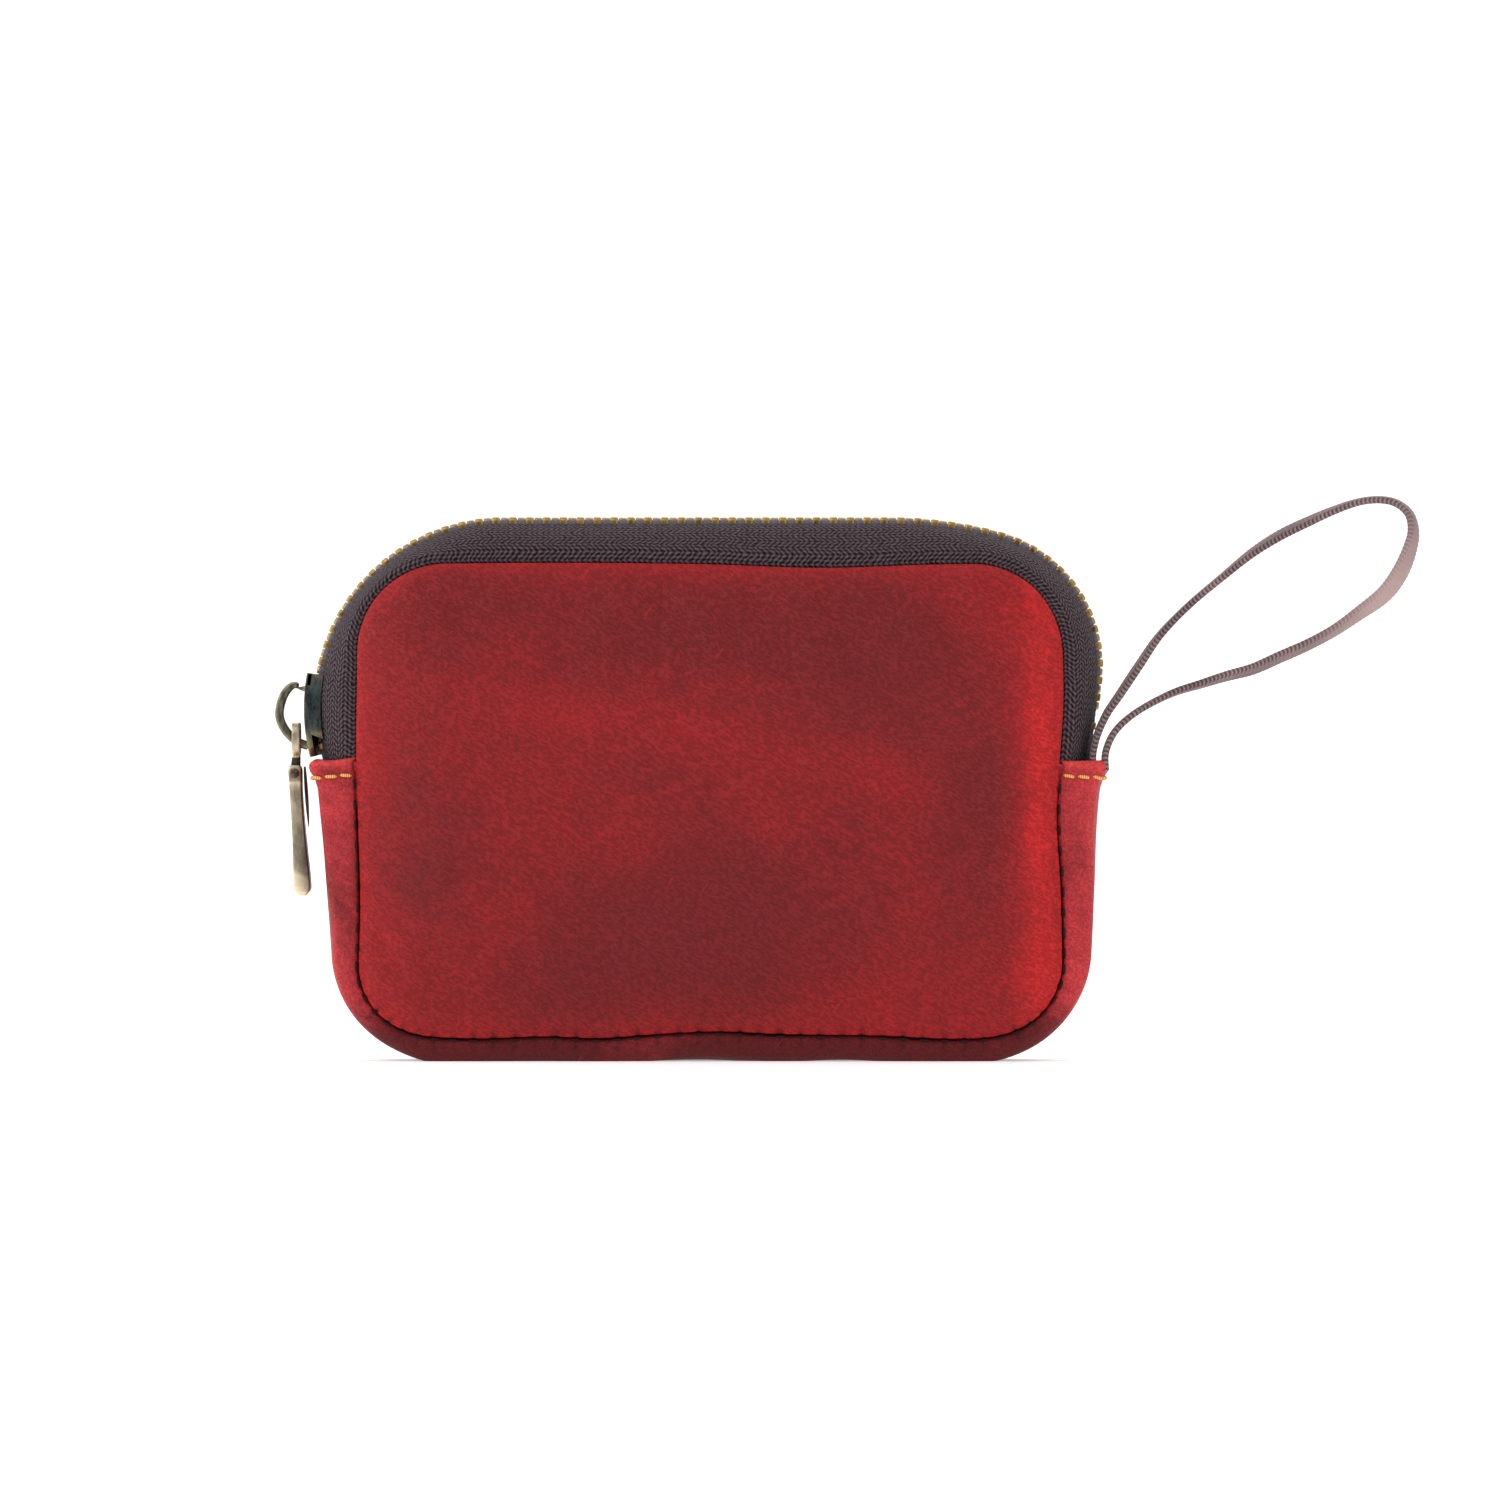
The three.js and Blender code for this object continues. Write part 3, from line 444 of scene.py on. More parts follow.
def worn_metal(name, deep, face, bright, roughness, wear=1.0):
    """Cast metal: mottled on its faces, rubbed bright along its edges, and darkened with painted shade where
    the value shade says.
    """
    metal = Finish(name)
    mottle = metal.noise(0.9, metal.place((1, 1, 0.3)), detail=4, roughness=0.65)
    grain = metal.noise(5, metal.place((1, 1, 0.35)), detail=3, roughness=0.6)
    share = metal.math("ADD", metal.math("MULTIPLY", mottle, 0.75), metal.math("MULTIPLY", grain, 0.25))
    base = metal.mix(metal.spread(share, 0.3, 0.62), deep, face)
    pointed = metal.node("NewGeometry").outputs["Pointiness"]
    rubbed = metal.math("ADD", pointed, metal.centred(mottle, 0.06))
    base = metal.mix(metal.spread(rubbed, 0.51, 0.58, 0.0, wear), base, bright)
    base = metal.mix(metal.value("shine"), base, bright)
    # Painted shade by the value shade
    base = metal.mix(metal.value("shade"), base, colour(26, 22, 20))
    rough = metal.spread(grain, 0.3, 0.7, roughness - 0.08, roughness + 0.14)
    normal = metal.bump(mottle, 0.12, 0.35)
    normal = metal.bump(grain, 0.03, 0.5, normal)
    metal.set(Base_Color=base, Roughness=rough, Normal=normal, Metallic=0.85)
    return metal.material


PANEL_FINISH = pull_up_leather(
    "panel_leather", colour(122, 30, 34), colour(150, 32, 35), colour(220, 42, 42), (1.2, 1.2, 3.1), 0.14,
)
GUSSET_FINISH = pull_up_leather(
    "gusset_leather", colour(112, 24, 28), colour(194, 56, 62), colour(250, 84, 80), (2.4, 2.4, 3.0), 0.1,
)
TAPE_FINISH = zip_tape_cloth()
BRAID_FINISH = braid_cloth()
# The seam thread's near-black colour is partly painted shade of the gutter it lies in
SEAM_THREAD_FINISH = thread_finish("seam_thread", colour(20, 6, 8), colour(62, 16, 20))
HEM_THREAD_FINISH = thread_finish("hem_thread", colour(190, 112, 50), colour(250, 196, 112))
TEETH_FINISH = worn_metal("teeth_brass", colour(56, 42, 24), colour(112, 86, 46), colour(178, 148, 92), 0.4)
SLIDER_FINISH = worn_metal(
    "slider_metal", colour(22, 28, 30), colour(58, 72, 76), colour(150, 136, 98), 0.3, 0.6,
)
CROWN_FINISH = worn_metal("crown_metal", colour(40, 40, 36), colour(92, 88, 74), colour(176, 166, 134), 0.38)
PULL_FINISH = worn_metal(
    "pull_metal", colour(112, 100, 84), colour(150, 138, 118), colour(244, 226, 194), 0.42,
)
LEAF_FINISH = worn_metal("leaf_metal", colour(36, 26, 26), colour(78, 60, 54), colour(130, 108, 90), 0.4, 0.5)


# ---- The outline of the panels and the routes round it ----

def outside_panel(x, z):
    """Distance to the panel's outline, negative inside it."""
    radius = np.where(z > PANEL_MIDDLE, PANEL_TOP_RADIUS, PANEL_BASE_RADIUS)
    dx = np.abs(x) - HALF_WIDTH + radius
    dz = np.abs(z - PANEL_MIDDLE) - PANEL_HALF_HEIGHT + radius
    corner = np.hypot(np.maximum(dx, 0), np.maximum(dz, 0))
    return corner + np.minimum(np.maximum(dx, dz), 0) - radius


def arc(centre, radius, start, end, steps=400):
    angles = np.linspace(start, end, steps)
    return np.stack([centre[0] + radius * np.cos(angles), centre[1] + radius * np.sin(angles)], axis=1)


class Route:
    """A line in x and z, read by distance along it. It runs straight on past its ends."""

    def __init__(self, points):
        keep = np.concatenate([[True], np.linalg.norm(np.diff(points, axis=0), axis=1) > 1e-6])
        points = points[keep]
        steps = np.linalg.norm(np.diff(points, axis=0), axis=1)
        distances = np.concatenate([[0], np.cumsum(steps)])
        self.length = distances[-1]
        self.table = np.linspace(0, self.length, 4001)
        self.points = np.stack([np.interp(self.table, distances, points[:, i]) for i in (0, 1)], axis=1)
        tangents = np.gradient(self.points, self.table, axis=0)
        self.tangents = tangents / np.linalg.norm(tangents, axis=1)[:, None]
        self.reaches = self.find_reaches()

    def read(self, values, distance):
        return np.stack([np.interp(distance, self.table, values[:, i]) for i in (0, 1)], axis=-1)

    def tangent(self, distance):
        found = self.read(self.tangents, distance)
        return found / np.linalg.norm(found, axis=-1, keepdims=True)

    def outward(self, distance):
        along = self.tangent(distance)
        return np.stack([-along[..., 1], along[..., 0]], axis=-1)

    def at(self, distance):
        past = distance - np.clip(distance, 0, self.length)
        return self.read(self.points, distance) + self.tangent(distance) * past[..., None]

    def find_reaches(self):
        """How far in the seam is, a gap outside the panel."""
        near, far = np.zeros(len(self.table)), np.full(len(self.table), HALF_WIDTH / 2)
        inward = -np.stack([-self.tangents[:, 1], self.tangents[:, 0]], axis=1)
        for _ in range(40):
            middle = (near + far) / 2
            point = self.points + inward * middle[:, None]
            outside = outside_panel(point[:, 0], point[:, 1]) > GAP
            near, far = np.where(outside, middle, near), np.where(outside, far, middle)
        return far

    def reach(self, distance):
        return np.interp(distance, self.table, self.reaches)

    def from_seam(self, distance, out, y):
        """The points this far outwards from the seam, at depth y."""
        distance, out, y = np.broadcast_arrays(distance, out, y)
        flat = self.at(distance) + self.outward(distance) * (out - self.reach(distance))[..., None]
        return np.stack([flat[..., 0], y, flat[..., 1]], axis=-1)


def zip_route():
    """The middle line of the teeth: up the left side, over the top and down the right side."""
    below = math.asin((ARC_CENTRE[1] - ZIP_LOW) / ZIP_LEFT_RADIUS)
    left = arc(ARC_CENTRE, ZIP_LEFT_RADIUS, math.pi + below, math.pi / 2)
    top = TAPE_HIGH[2]
    right_x = HALF_WIDTH + ZIP_RIGHT_REACH - ZIP_RIGHT_RADIUS
    spare = SHOULDER_RADIUS - ZIP_RIGHT_RADIUS
    shoulder = (right_x - spare * math.sin(SHOULDER_TURN), top - SHOULDER_RADIUS)
    corner = (right_x, shoulder[1] + spare * math.cos(SHOULDER_TURN))
    turned = math.pi / 2 - SHOULDER_TURN
    middle = arc(shoulder, SHOULDER_RADIUS, math.pi / 2, turned)
    right = arc(corner, ZIP_RIGHT_RADIUS, turned, -RIGHT_TURN_IN)
    drop = right[-1][1] - ZIP_LOW
    end = np.array([[right[-1][0] - drop * math.tan(RIGHT_TURN_IN), ZIP_LOW]])
    return Route(np.concatenate([left, middle, right, end]))


def gusset_route():
    """The outer line of the gusset: down the right side, along the base and up the left side."""
    points = []
    for side, sign in (("right", 1), ("left", -1)):
        top, base = HALF_WIDTH + GUSSET_TOP[side], HALF_WIDTH + GUSSET_BASE[side]
        lean = math.atan((top - base) / HEM_HEIGHT)
        x = base + GUSSET_RADIUS * math.tan(lean) - GUSSET_RADIUS / math.cos(lean)
        corner = arc((x, GUSSET_RADIUS), GUSSET_RADIUS, -lean, -math.pi / 2)
        line = np.concatenate([[(top, HEM_HEIGHT)], corner]) * (sign, 1)
        points.append(line if sign > 0 else line[::-1])
    return Route(np.concatenate(points))


ZIP = zip_route()
GUSSET = gusset_route()

# Soft dents in the sewn edges: the middle and the half width of each, and how far it moves the edge.
BASE_DENTS = [(-35, 9, -0.55), (-17, 6, -0.5), (1, 8, 0.5), (37, 9, -0.6)]
TOP_DENTS = [(17, 13, -0.6), (-22, 16, 0.15)]
RIGHT_DENTS = [(37.5, 9, -0.75), (56, 7, 0.3), (15, 6, 0.1)]
LEFT_DENTS = [(24, 11, 0.45), (48, 8, -0.15)]


def dent(at, dents):
    return sum(move * np.exp(-(((at - middle) / half) ** 2)) for middle, half, move in dents)


def ease(value, low, high):
    t = np.clip((value - low) / (high - low), 0, 1)
    return t * t * (3 - 2 * t)


def settle(points):
    """Moves points near the sewn edges by the dents, and leaves the middle of the gusset and zip."""
    points = np.array(points, float)
    x, y, z = points[..., 0].copy(), points[..., 1], points[..., 2].copy()
    mirrored = np.where(y < 0, x, -x)
    sewn = ease(np.abs(y), 3.5, 8.5)
    points[..., 2] += sewn * ease(-z, -16, -5) * dent(mirrored, BASE_DENTS) * ease(-np.abs(x), -50, -40)
    points[..., 2] += sewn * ease(z, 62, 73) * dent(mirrored, TOP_DENTS) * ease(-np.abs(x), -50, -40)
    points[..., 0] += sewn * ease(mirrored, 40, 50) * dent(z, RIGHT_DENTS) * np.sign(-y)
    points[..., 0] += sewn * ease(-mirrored, 40, 50) * dent(z, LEFT_DENTS) * np.sign(-y)
    return points


def wander(seed, x, z, size):
    """A smooth random surface from -1 to 1 with bumps of about this size."""
    draws = np.random.default_rng(seed)
    total = np.zeros(np.shape(x))
    for _ in range(8):
        turn, shift = draws.uniform(0, math.tau, 2)
        length = size * draws.uniform(1.4, 3.0)
        total = total + np.sin((x * math.cos(turn) + z * math.sin(turn)) * math.tau / length + shift)
    return total / 4


# ---- Panels ----

# Where a panel's leather is stretched light or left dark: place across and up, half sizes, turn and strength.
# The bright strips along the left and right sides are partly painted highlight.
STRETCHED = [
    (0.03, 0.45, 0.05, 0.5, 0, 0.3), (0.15, 0.14, 0.15, 0.15, 30, 0.22), (0.28, 0.68, 0.13, 0.05, -10, 0.3),
    (0.2, 0.8, 0.1, 0.08, 0, 0.1), (0.5, 0.64, 0.12, 0.05, -15, 0.22), (0.97, 0.5, 0.042, 0.55, 0, 0.75),
    (0.92, 0.92, 0.09, 0.1, 20, 0.3), (0.74, 0.55, 0.11, 0.06, -20, 0.3), (0.85, 0.1, 0.2, 0.1, 8, 0.22),
    (0.5, 0.04, 0.3, 0.06, 0, 0.12), (0.56, 0.5, 0.14, 0.06, -40, 0.18), (0.35, 0.44, 0.1, 0.06, 20, 0.12),
    (0.42, 0.86, 0.28, 0.09, 0, -0.25), (0.72, 0.8, 0.16, 0.13, 0, -0.3), (0.36, 0.2, 0.22, 0.1, 25, -0.3),
    (0.52, 0.16, 0.14, 0.2, 0, -0.3), (0.88, 0.52, 0.07, 0.1, 0, -0.25), (0.1, 0.5, 0.06, 0.08, 0, -0.15),
    (0.08, 0.32, 0.12, 0.09, -35, -0.22),
]


def pull_of(x, z):
    """How far the leather is stretched light at each point of a panel, with the side strips partly painted
    highlight.
    """
    across = x / (2 * HALF_WIDTH) + 0.5
    up = (z - PANEL_LOW[2]) / (2 * PANEL_HALF_HEIGHT)
    squash = PANEL_HALF_HEIGHT / HALF_WIDTH
    total = np.full(np.shape(x), 0.3)
    for middle_x, middle_z, half_x, half_z, degrees, strength in STRETCHED:
        turn = math.radians(degrees)
        dx, dz = across - middle_x, (up - middle_z) * squash
        along = (dx * math.cos(turn) + dz * math.sin(turn)) / half_x
        over = (dz * math.cos(turn) - dx * math.sin(turn)) / (half_z * squash)
        total = total + strength * np.exp(-(along**2 + over**2))
    return total


def panel_lines(half):
    """Places from -half to half that come closer together near both ends."""
    near = np.array([0, 0.25, 0.55, 0.9, 1.3, 1.8, 2.4, 3.2, 4.2, 5.4, 6.8, 8.4])
    inner = half - near[-1]
    count = int(round(2 * inner / 1.15))
    middle = np.linspace(-inner, inner, count + 1)[1:-1]
    return np.concatenate([near - half, middle, (half - near)[::-1]])


def round_corners(x, z):
    """Moves the points of a rectangular grid so that its corners follow the panel's outline."""
    radius = np.where(z > PANEL_MIDDLE, PANEL_TOP_RADIUS, PANEL_BASE_RADIUS)
    dx = (np.abs(x) - HALF_WIDTH + radius) / radius
    dz = (np.abs(z - PANEL_MIDDLE) - PANEL_HALF_HEIGHT + radius) / radius
    inside = (dx > 0) & (dz > 0)
    dx, dz = np.where(inside, dx, 0), np.where(inside, dz, 0)
    less_x = dx * (1 - np.sqrt(1 - dz**2 / 2)) * radius
    less_z = dz * (1 - np.sqrt(1 - dx**2 / 2)) * radius
    return x - np.sign(x) * less_x, z - np.sign(z - PANEL_MIDDLE) * less_z


def border(rows, columns):
    """The indices round the edge of a grid, in order."""
    top = [(0, c) for c in range(columns)]
    right = [(r, columns - 1) for r in range(1, rows)]
    base = [(rows - 1, c) for c in range(columns - 2, -1, -1)]
    left = [(r, 0) for r in range(rows - 2, 0, -1)]
    return np.array([r * columns + c for r, c in top + right + base + left])


def puff_up(obj, held, most):
    """Cloth under pressure from inside, held where held is 1. No point moves further than most."""
    start = np.empty(len(obj.data.vertices) * 3)
    obj.data.vertices.foreach_get("co", start)
    group = obj.vertex_groups.new(name="held")
    for index, weight in enumerate(held):
        group.add([index], float(weight), "REPLACE")
    cloth = obj.modifiers.new("cloth", "CLOTH")
    settings = cloth.settings
    settings.quality = 6
    settings.mass = 0.0004
    settings.tension_stiffness = 4
    settings.compression_stiffness = 4
    settings.shear_stiffness = 2
    settings.bending_stiffness = 0.05
    settings.vertex_group_mass = "held"
    settings.use_pressure = True
    settings.uniform_pressure_force = 4
    settings.shrink_min = -0.012
    settings.effector_weights.gravity = 0
    cloth.collision_settings.use_collision = False
    scene = bpy.context.scene
    for number in range(1, 21):
        scene.frame_set(number)
    apply_modifiers(obj)
    scene.frame_set(1)
    obj.vertex_groups.clear()
    end = np.empty_like(start)
    obj.data.vertices.foreach_get("co", end)
    move = (end - start).reshape(-1, 3)
    far = np.linalg.norm(move, axis=1)
    share = np.minimum(1, most * MM / np.maximum(far, 1e-9))
    obj.data.vertices.foreach_set("co", (start.reshape(-1, 3) + move * share[:, None]).ravel())


def stitch_notch(distance):
    """How deep the seam is pulled in, 0 to 1: most at each stitch under the base, less up the sides."""
    phase = (distance / STITCH_PITCH) % 1
    number = np.floor(distance / STITCH_PITCH)
    uneven = 0.65 + 0.35 * np.sin(number * 2.4) * np.sin(number * 0.7)
    up_the_side = ease(np.abs(distance - GUSSET.length / 2), 54, 66)
    return np.exp(-(((phase - 0.5) / 0.12) ** 2)) * uneven * (1 - 0.6 * up_the_side)


def along_gusset(x, z):
    """The nearest distance along the gusset's seam to each point."""
    step = 8
    seam = GUSSET.from_seam(GUSSET.table[::step], 0, 0)[:, [0, 2]]
    points = np.stack([x, z], axis=1)
    found = np.empty(len(points))
    for start in range(0, len(points), 4000):
        part = points[start : start + 4000, None, :] - seam[None]
        found[start : start + 4000] = GUSSET.table[::step][(part**2).sum(-1).argmin(1)]
    return found


def turned_edge(obj, side, loop):
    """Adds the part of the panel's edge that turns in to the seam."""
    mesh = bmesh.new()
    mesh.from_mesh(obj.data)
    mesh.verts.ensure_lookup_table()
    last = [mesh.verts[i] for i in loop]
    start = np.array([v.co for v in last]) / MM
    ahead = np.roll(start, -1, axis=0) - np.roll(start, 1, axis=0)
    outward = np.stack([-ahead[:, 2], np.zeros(len(ahead)), ahead[:, 0]], axis=1)
    outward /= np.linalg.norm(outward, axis=1)[:, None]
    if (outward * (start - start.mean(0))).sum() < 0:
        outward = -outward
    for inset, drop in ((0.08, 0.35), (0.4, 0.7), (1.0, 0.9)):
        ring = start - outward * inset
        ring[:, 1] -= side * drop
        now = [mesh.verts.new(p * MM) for p in ring]
        for i in range(len(now)):
            j = (i + 1) % len(now)
            mesh.faces.new((last[i], last[j], now[j], now[i]))
        last = now
    bmesh.ops.recalc_face_normals(mesh, faces=mesh.faces)
    mesh.to_mesh(obj.data)
    mesh.free()


def panel_shape(side):
    x, z = np.meshgrid(panel_lines(HALF_WIDTH), panel_lines(PANEL_HALF_HEIGHT) + PANEL_MIDDLE)
    x, z = round_corners(x, z)
    inset = np.maximum(-outside_panel(x, z), 0)
    y = side * (SEAM_Y + 0.9 * PUFF * (1 - np.exp(-inset / PANEL_ROLL)))
    faces = grid_faces(*x.shape)
    if side > 0:
        faces = [face[::-1] for face in faces]
    shape = Shape()
    shape.add(np.stack([x, y, z], axis=-1), faces)
    return shape, inset, x.shape


def panel(side, name):
    shape, inset, size = panel_shape(side)
    obj = piece(name + "_leather", shape, PANEL_FINISH)
    puff_up(obj, np.clip(1 - inset.ravel() / 2.2, 0, 1), 2.0)
    turned_edge(obj, side, border(*size))
    subdivide(obj)
    apply_modifiers(obj)
    points = points_of(obj)
    x, z = points[:, 0], points[:, 2]
    inset = -outside_panel(x, z)
    sewn_low = ease(-z, -HEM_HEIGHT, 2 - HEM_HEIGHT)
    notch = stitch_notch(along_gusset(x, z)) * np.exp(-((inset / 0.9) ** 2)) * sewn_low
    outline = np.stack([x, 0 * x, z - PANEL_MIDDLE], axis=1)
    inward = -outline / np.linalg.norm(outline, axis=1)[:, None]
    uneven = wander(7 + side, x, z, 14) * 0.22 + wander(17 + side, x, z, 5) * 0.05
    points[:, 1] += side * (uneven * ease(inset, 1, 8) - 0.35 * notch)
    points += inward * (0.18 * notch)[:, None]
    points = settle(points)
    obj.data.vertices.foreach_set("co", (points * MM).ravel())
    mirrored = x * -side
    store(obj, "pull", pull_of(mirrored, z))
    # edge: the rolled edge lighter, partly as stretched leather and partly as painted highlight
    store(obj, "edge", np.clip(0.6 * np.exp(-np.maximum(inset, 0) / 1.2) - notch, 0, 1))
    # shade: painted shade where the edge turns in to the seam's gutter and in the stitch notches
    behind = SEAM_Y - 0.15 - np.abs(points[:, 1])
    store(obj, "shade", np.clip(0.3 * ease(behind, 0.1, 0.6) + 0.3 * notch, 0, 0.85))
    thicken(obj, PANEL_LEATHER)
    apply_modifiers(obj)
    stand_for(obj, "pouch", "panel_leather", name + "_panel")


def points_of(obj):
    """The points of a piece's mesh, in millimetres."""
    found = np.empty(len(obj.data.vertices) * 3)
    obj.data.vertices.foreach_get("co", found)
    return found.reshape(-1, 3) / MM


def store(obj, name, numbers):
    layer = obj.data.attributes.new(name, "FLOAT", "POINT")
    layer.data.foreach_set("value", np.asarray(numbers, np.float32).ravel())


# ---- Gusset ----

def hem_profile():
    """Distances in from the hem and how far in from the outer face, round the fold from inside."""
    inside = [(7.5, 1), (5, 1), (3, 1), (1.6, 1)]
    turns = [(HEM_FOLD * (1 - math.sin(a)), (1 + math.cos(a)) / 2) for a in np.linspace(0, math.pi, 9)]
    return inside + [(d, share) for d, share in turns]


def gusset_stations():
    """Distances along the gusset and the share of the fold's depth that each stands in from the face."""
    hem = hem_profile()
    count = int(round((GUSSET.length - 2 * HEM_FOLD) / 0.62))
    middle = np.linspace(HEM_FOLD, GUSSET.length - HEM_FOLD, count + 1)[1:-1]
    start = [(d, share) for d, share in hem]
    end = [(GUSSET.length - d, share) for d, share in reversed(hem)]
    return np.array(start + [(d, 0.0) for d in middle] + end)


def gusset_sections():
    """Shares of the half depth and how far the face has come in to the seam, 0 to 1, past both edges."""
    flat = [(v, 0.0) for v in np.linspace(0, BASE_FLAT, 9)]
    curve = [(BASE_FLAT + (1 - BASE_FLAT) * t, t**2.5) for t in 1 - (1 - np.linspace(0, 1, 15)[1:]) ** 1.35]
    turned = [(1.0, 1.25), (0.993, 1.5), (0.97, 1.68), (0.92, 1.8), (0.84, 1.88)]
    half = flat + curve + turned
    return np.array([(-v, t) for v, t in reversed(half[1:])] + half)


def gusset():
    stations, sections = gusset_stations(), gusset_sections()
    distance, folded = stations[:, 0][:, None], stations[:, 1][:, None]
    share, closing = sections[:, 0][None, :], sections[:, 1][None, :]
    reach = GUSSET.reach(distance)
    to_hem = np.minimum(distance, GUSSET.length - distance)
    flare = HEM_FLARE * ease(-to_hem, FLARE_FROM, FLARE_TO)
    edge_out = GUSSET_LEATHER - np.maximum(closing - 1, 0) * 1.9
    out = np.where(closing < 1, GUSSET_LEATHER + (reach - GUSSET_LEATHER) * (1 - closing), edge_out)
    notch = stitch_notch(distance) * np.exp(-(((np.minimum(closing, 1) - 1) / 0.14) ** 2))
    notch = notch * ease(to_hem, 2, 4)
    sewn = np.exp(-(((to_hem - HEM_STITCH) / 0.55) ** 2)) * (folded < 0.5)
    uneven = wander(3, distance + 0 * share, share * SEAM_Y + 0 * distance, 9) * 0.16
    soft = ease(np.minimum(reach, 6), 2, 4) * (1 - ease(np.abs(share), 0.9, 1))
    out = out + flare * (1 - 0.75 * closing.clip(0, 1)) - 0.45 * notch - 0.22 * sewn + uneven * soft
    out = out - folded * 2 * HEM_FOLD
    y = share * (SEAM_Y - 0.35 * notch - folded * 1.2)
    points = settle(GUSSET.from_seam(distance, out, y))
    ripple = wander(5, y * 1.0, points[..., 0], 6) * 0.3 * ease(-to_hem, -3, 0)
    points[..., 2] += ripple
    points[..., 2] = np.maximum(points[..., 2], 0)
    # Painted highlight on the hem's top edge
    rim = np.exp(-((to_hem / 1.0) ** 2)) * (1 - 0.4 * folded)
    worn = 0.35 * np.exp(-(((closing - 0.12) / 0.12) ** 2)) * (0.6 + 0.4 * np.sin(distance / 6))
    shape = Shape()
    shape.add(points, grid_faces(len(stations), len(sections)))
    low = ease(-points[..., 2], -12, 0)
    # Darker towards the base: painted shade where the gusset curves under
    pull = 0.42 + 0.25 * wander(9, distance + 0 * share, y, 16) - 0.5 * low + 0 * out
    turned_in = ease(closing, 1.3, 1.75) * (folded < 0.5)
    values = {
        "pull": pull,
        # edge: painted highlight on the hem's top edge by rim, with lighter wear by worn
        "edge": np.clip(rim + worn * (1 - low) - notch, 0, 1) + 0 * out,
        # shade: painted shade in the seam's gutter, in the stitch notches and along the base
        "shade": np.clip(0.35 * turned_in + 0.4 * notch + 0.28 * low, 0, 0.85) + 0 * out,
    }
    obj = piece("gusset_leather", shape, GUSSET_FINISH, values)
    thicken(obj, 0.7, 1)
    apply_modifiers(obj)
    show(obj, "pouch", "gusset_leather", "gusset")


# ---- Threads ----

def capsule(shape, middle, along, outward, length, radius, lift=0.0):
    """One stitch: a thread that comes up, runs along and goes down again."""
    sideways = np.cross(along, outward)
    steps = np.linspace(-1, 1, 11)
    turns = np.linspace(0, math.tau, 10, endpoint=False)
    rings = []
    for t in steps:
        size = radius * math.sqrt(max(1 - abs(t) ** 5, 0.04))
        rise = lift * (1 - t * t) - 0.25 * radius * abs(t) ** 3
        centre = middle + along * (t * length / 2) + outward * rise
        rings.append([centre + size * (math.cos(a) * outward + math.sin(a) * sideways) for a in turns])
    shape.loft(rings)


def unit(vector):
    return vector / np.linalg.norm(vector, axis=-1, keepdims=True)


def seam_stitches(side, name):
    """Short stitches at the bottom of the gutter between a panel and the gusset."""
    shape = Shape()
    first, last = (int(end // STITCH_PITCH) for end in (SEAM_END, GUSSET.length - SEAM_END))
    middles = [(i + 0.5) * STITCH_PITCH for i in range(first, last + 1)]
    for middle in (m for m in middles if m <= GUSSET.length - SEAM_END):
        ends = np.array([middle - 0.5, middle + 0.5])
        depth = side * (SEAM_Y - 0.22)
        points = settle(GUSSET.from_seam(ends, 0.05, depth))
        out = GUSSET.outward(np.array(middle))
        outward = unit(np.array([out[0] * 0.3, side, out[1] * 0.3]))
        along = unit(points[1] - points[0])
        outward = unit(outward - along * (outward @ along))
        capsule(shape, points.mean(0), along, outward, STITCH_LENGTH, 0.2, 0.0)
    obj = piece("seam_stitches_" + name, shape, SEAM_THREAD_FINISH)
    show(obj, "pouch", "seam_thread", "seam_thread_" + name)


def gusset_surface(distance, share):
    """A point on the outer face of the gusset, at a share of its half depth."""
    curl = np.maximum(0, (np.abs(share) - BASE_FLAT) / (1 - BASE_FLAT)) ** 2.5
    to_hem = np.minimum(distance, GUSSET.length - distance)
    flare = HEM_FLARE * ease(-to_hem, FLARE_FROM, FLARE_TO) * (1 - 0.75 * curl)
    reach = GUSSET.reach(distance)
    out = GUSSET_LEATHER + (reach - GUSSET_LEATHER) * (1 - curl) + flare
    return settle(GUSSET.from_seam(distance, out, share * SEAM_Y))


def at_length(line, lengths, distance):
    return np.array([np.interp(distance, lengths, line[:, i]) for i in range(3)])


def hem_stitches(distance, name):
    """A row of ochre stitches from seam to seam across the hem."""
    shares = np.sin(np.linspace(-0.5, 0.5, 1200) * math.pi)
    edge = np.linspace(0.1, GUSSET_LEATHER, 40)
    line = np.concatenate([
        settle(GUSSET.from_seam(distance, edge, -SEAM_Y)),
        gusset_surface(np.full(1200, distance), shares),
        settle(GUSSET.from_seam(distance, edge[::-1], SEAM_Y)),
    ])
    lengths = np.concatenate([[0], np.cumsum(np.linalg.norm(np.diff(line, axis=0), axis=1))])
    pitch = lengths[-1] / round(lengths[-1] / HEM_PITCH)
    draws = np.random.default_rng(11)
    shape = Shape()
    for i in range(int(round(lengths[-1] / pitch))):
        middle = (i + 0.5) * pitch
        length = pitch * draws.uniform(0.72, 0.86)
        before, point, after = (at_length(line, lengths, middle + step) for step in (-0.3, 0, 0.3))
        along = unit(after - before)
        side = GUSSET.tangent(np.array(distance))
        down = np.array([side[0], 0, side[1]])
        outward = np.cross(along, down)
        radial = GUSSET.outward(np.array(distance))
        if outward @ np.array([radial[0], 0, radial[1]]) < 0:
            outward = -outward
        outward = unit(outward)
        tilted = unit(along + down * draws.uniform(0.06, 0.2))
        capsule(shape, point + outward * 0.1, tilted, outward, length, 0.27, 0.12)
    obj = piece("hem_stitches_" + name, shape, HEM_THREAD_FINISH)
    show(obj, "pouch", "hem_thread", "hem_thread_" + name)


# ---- Zip ----

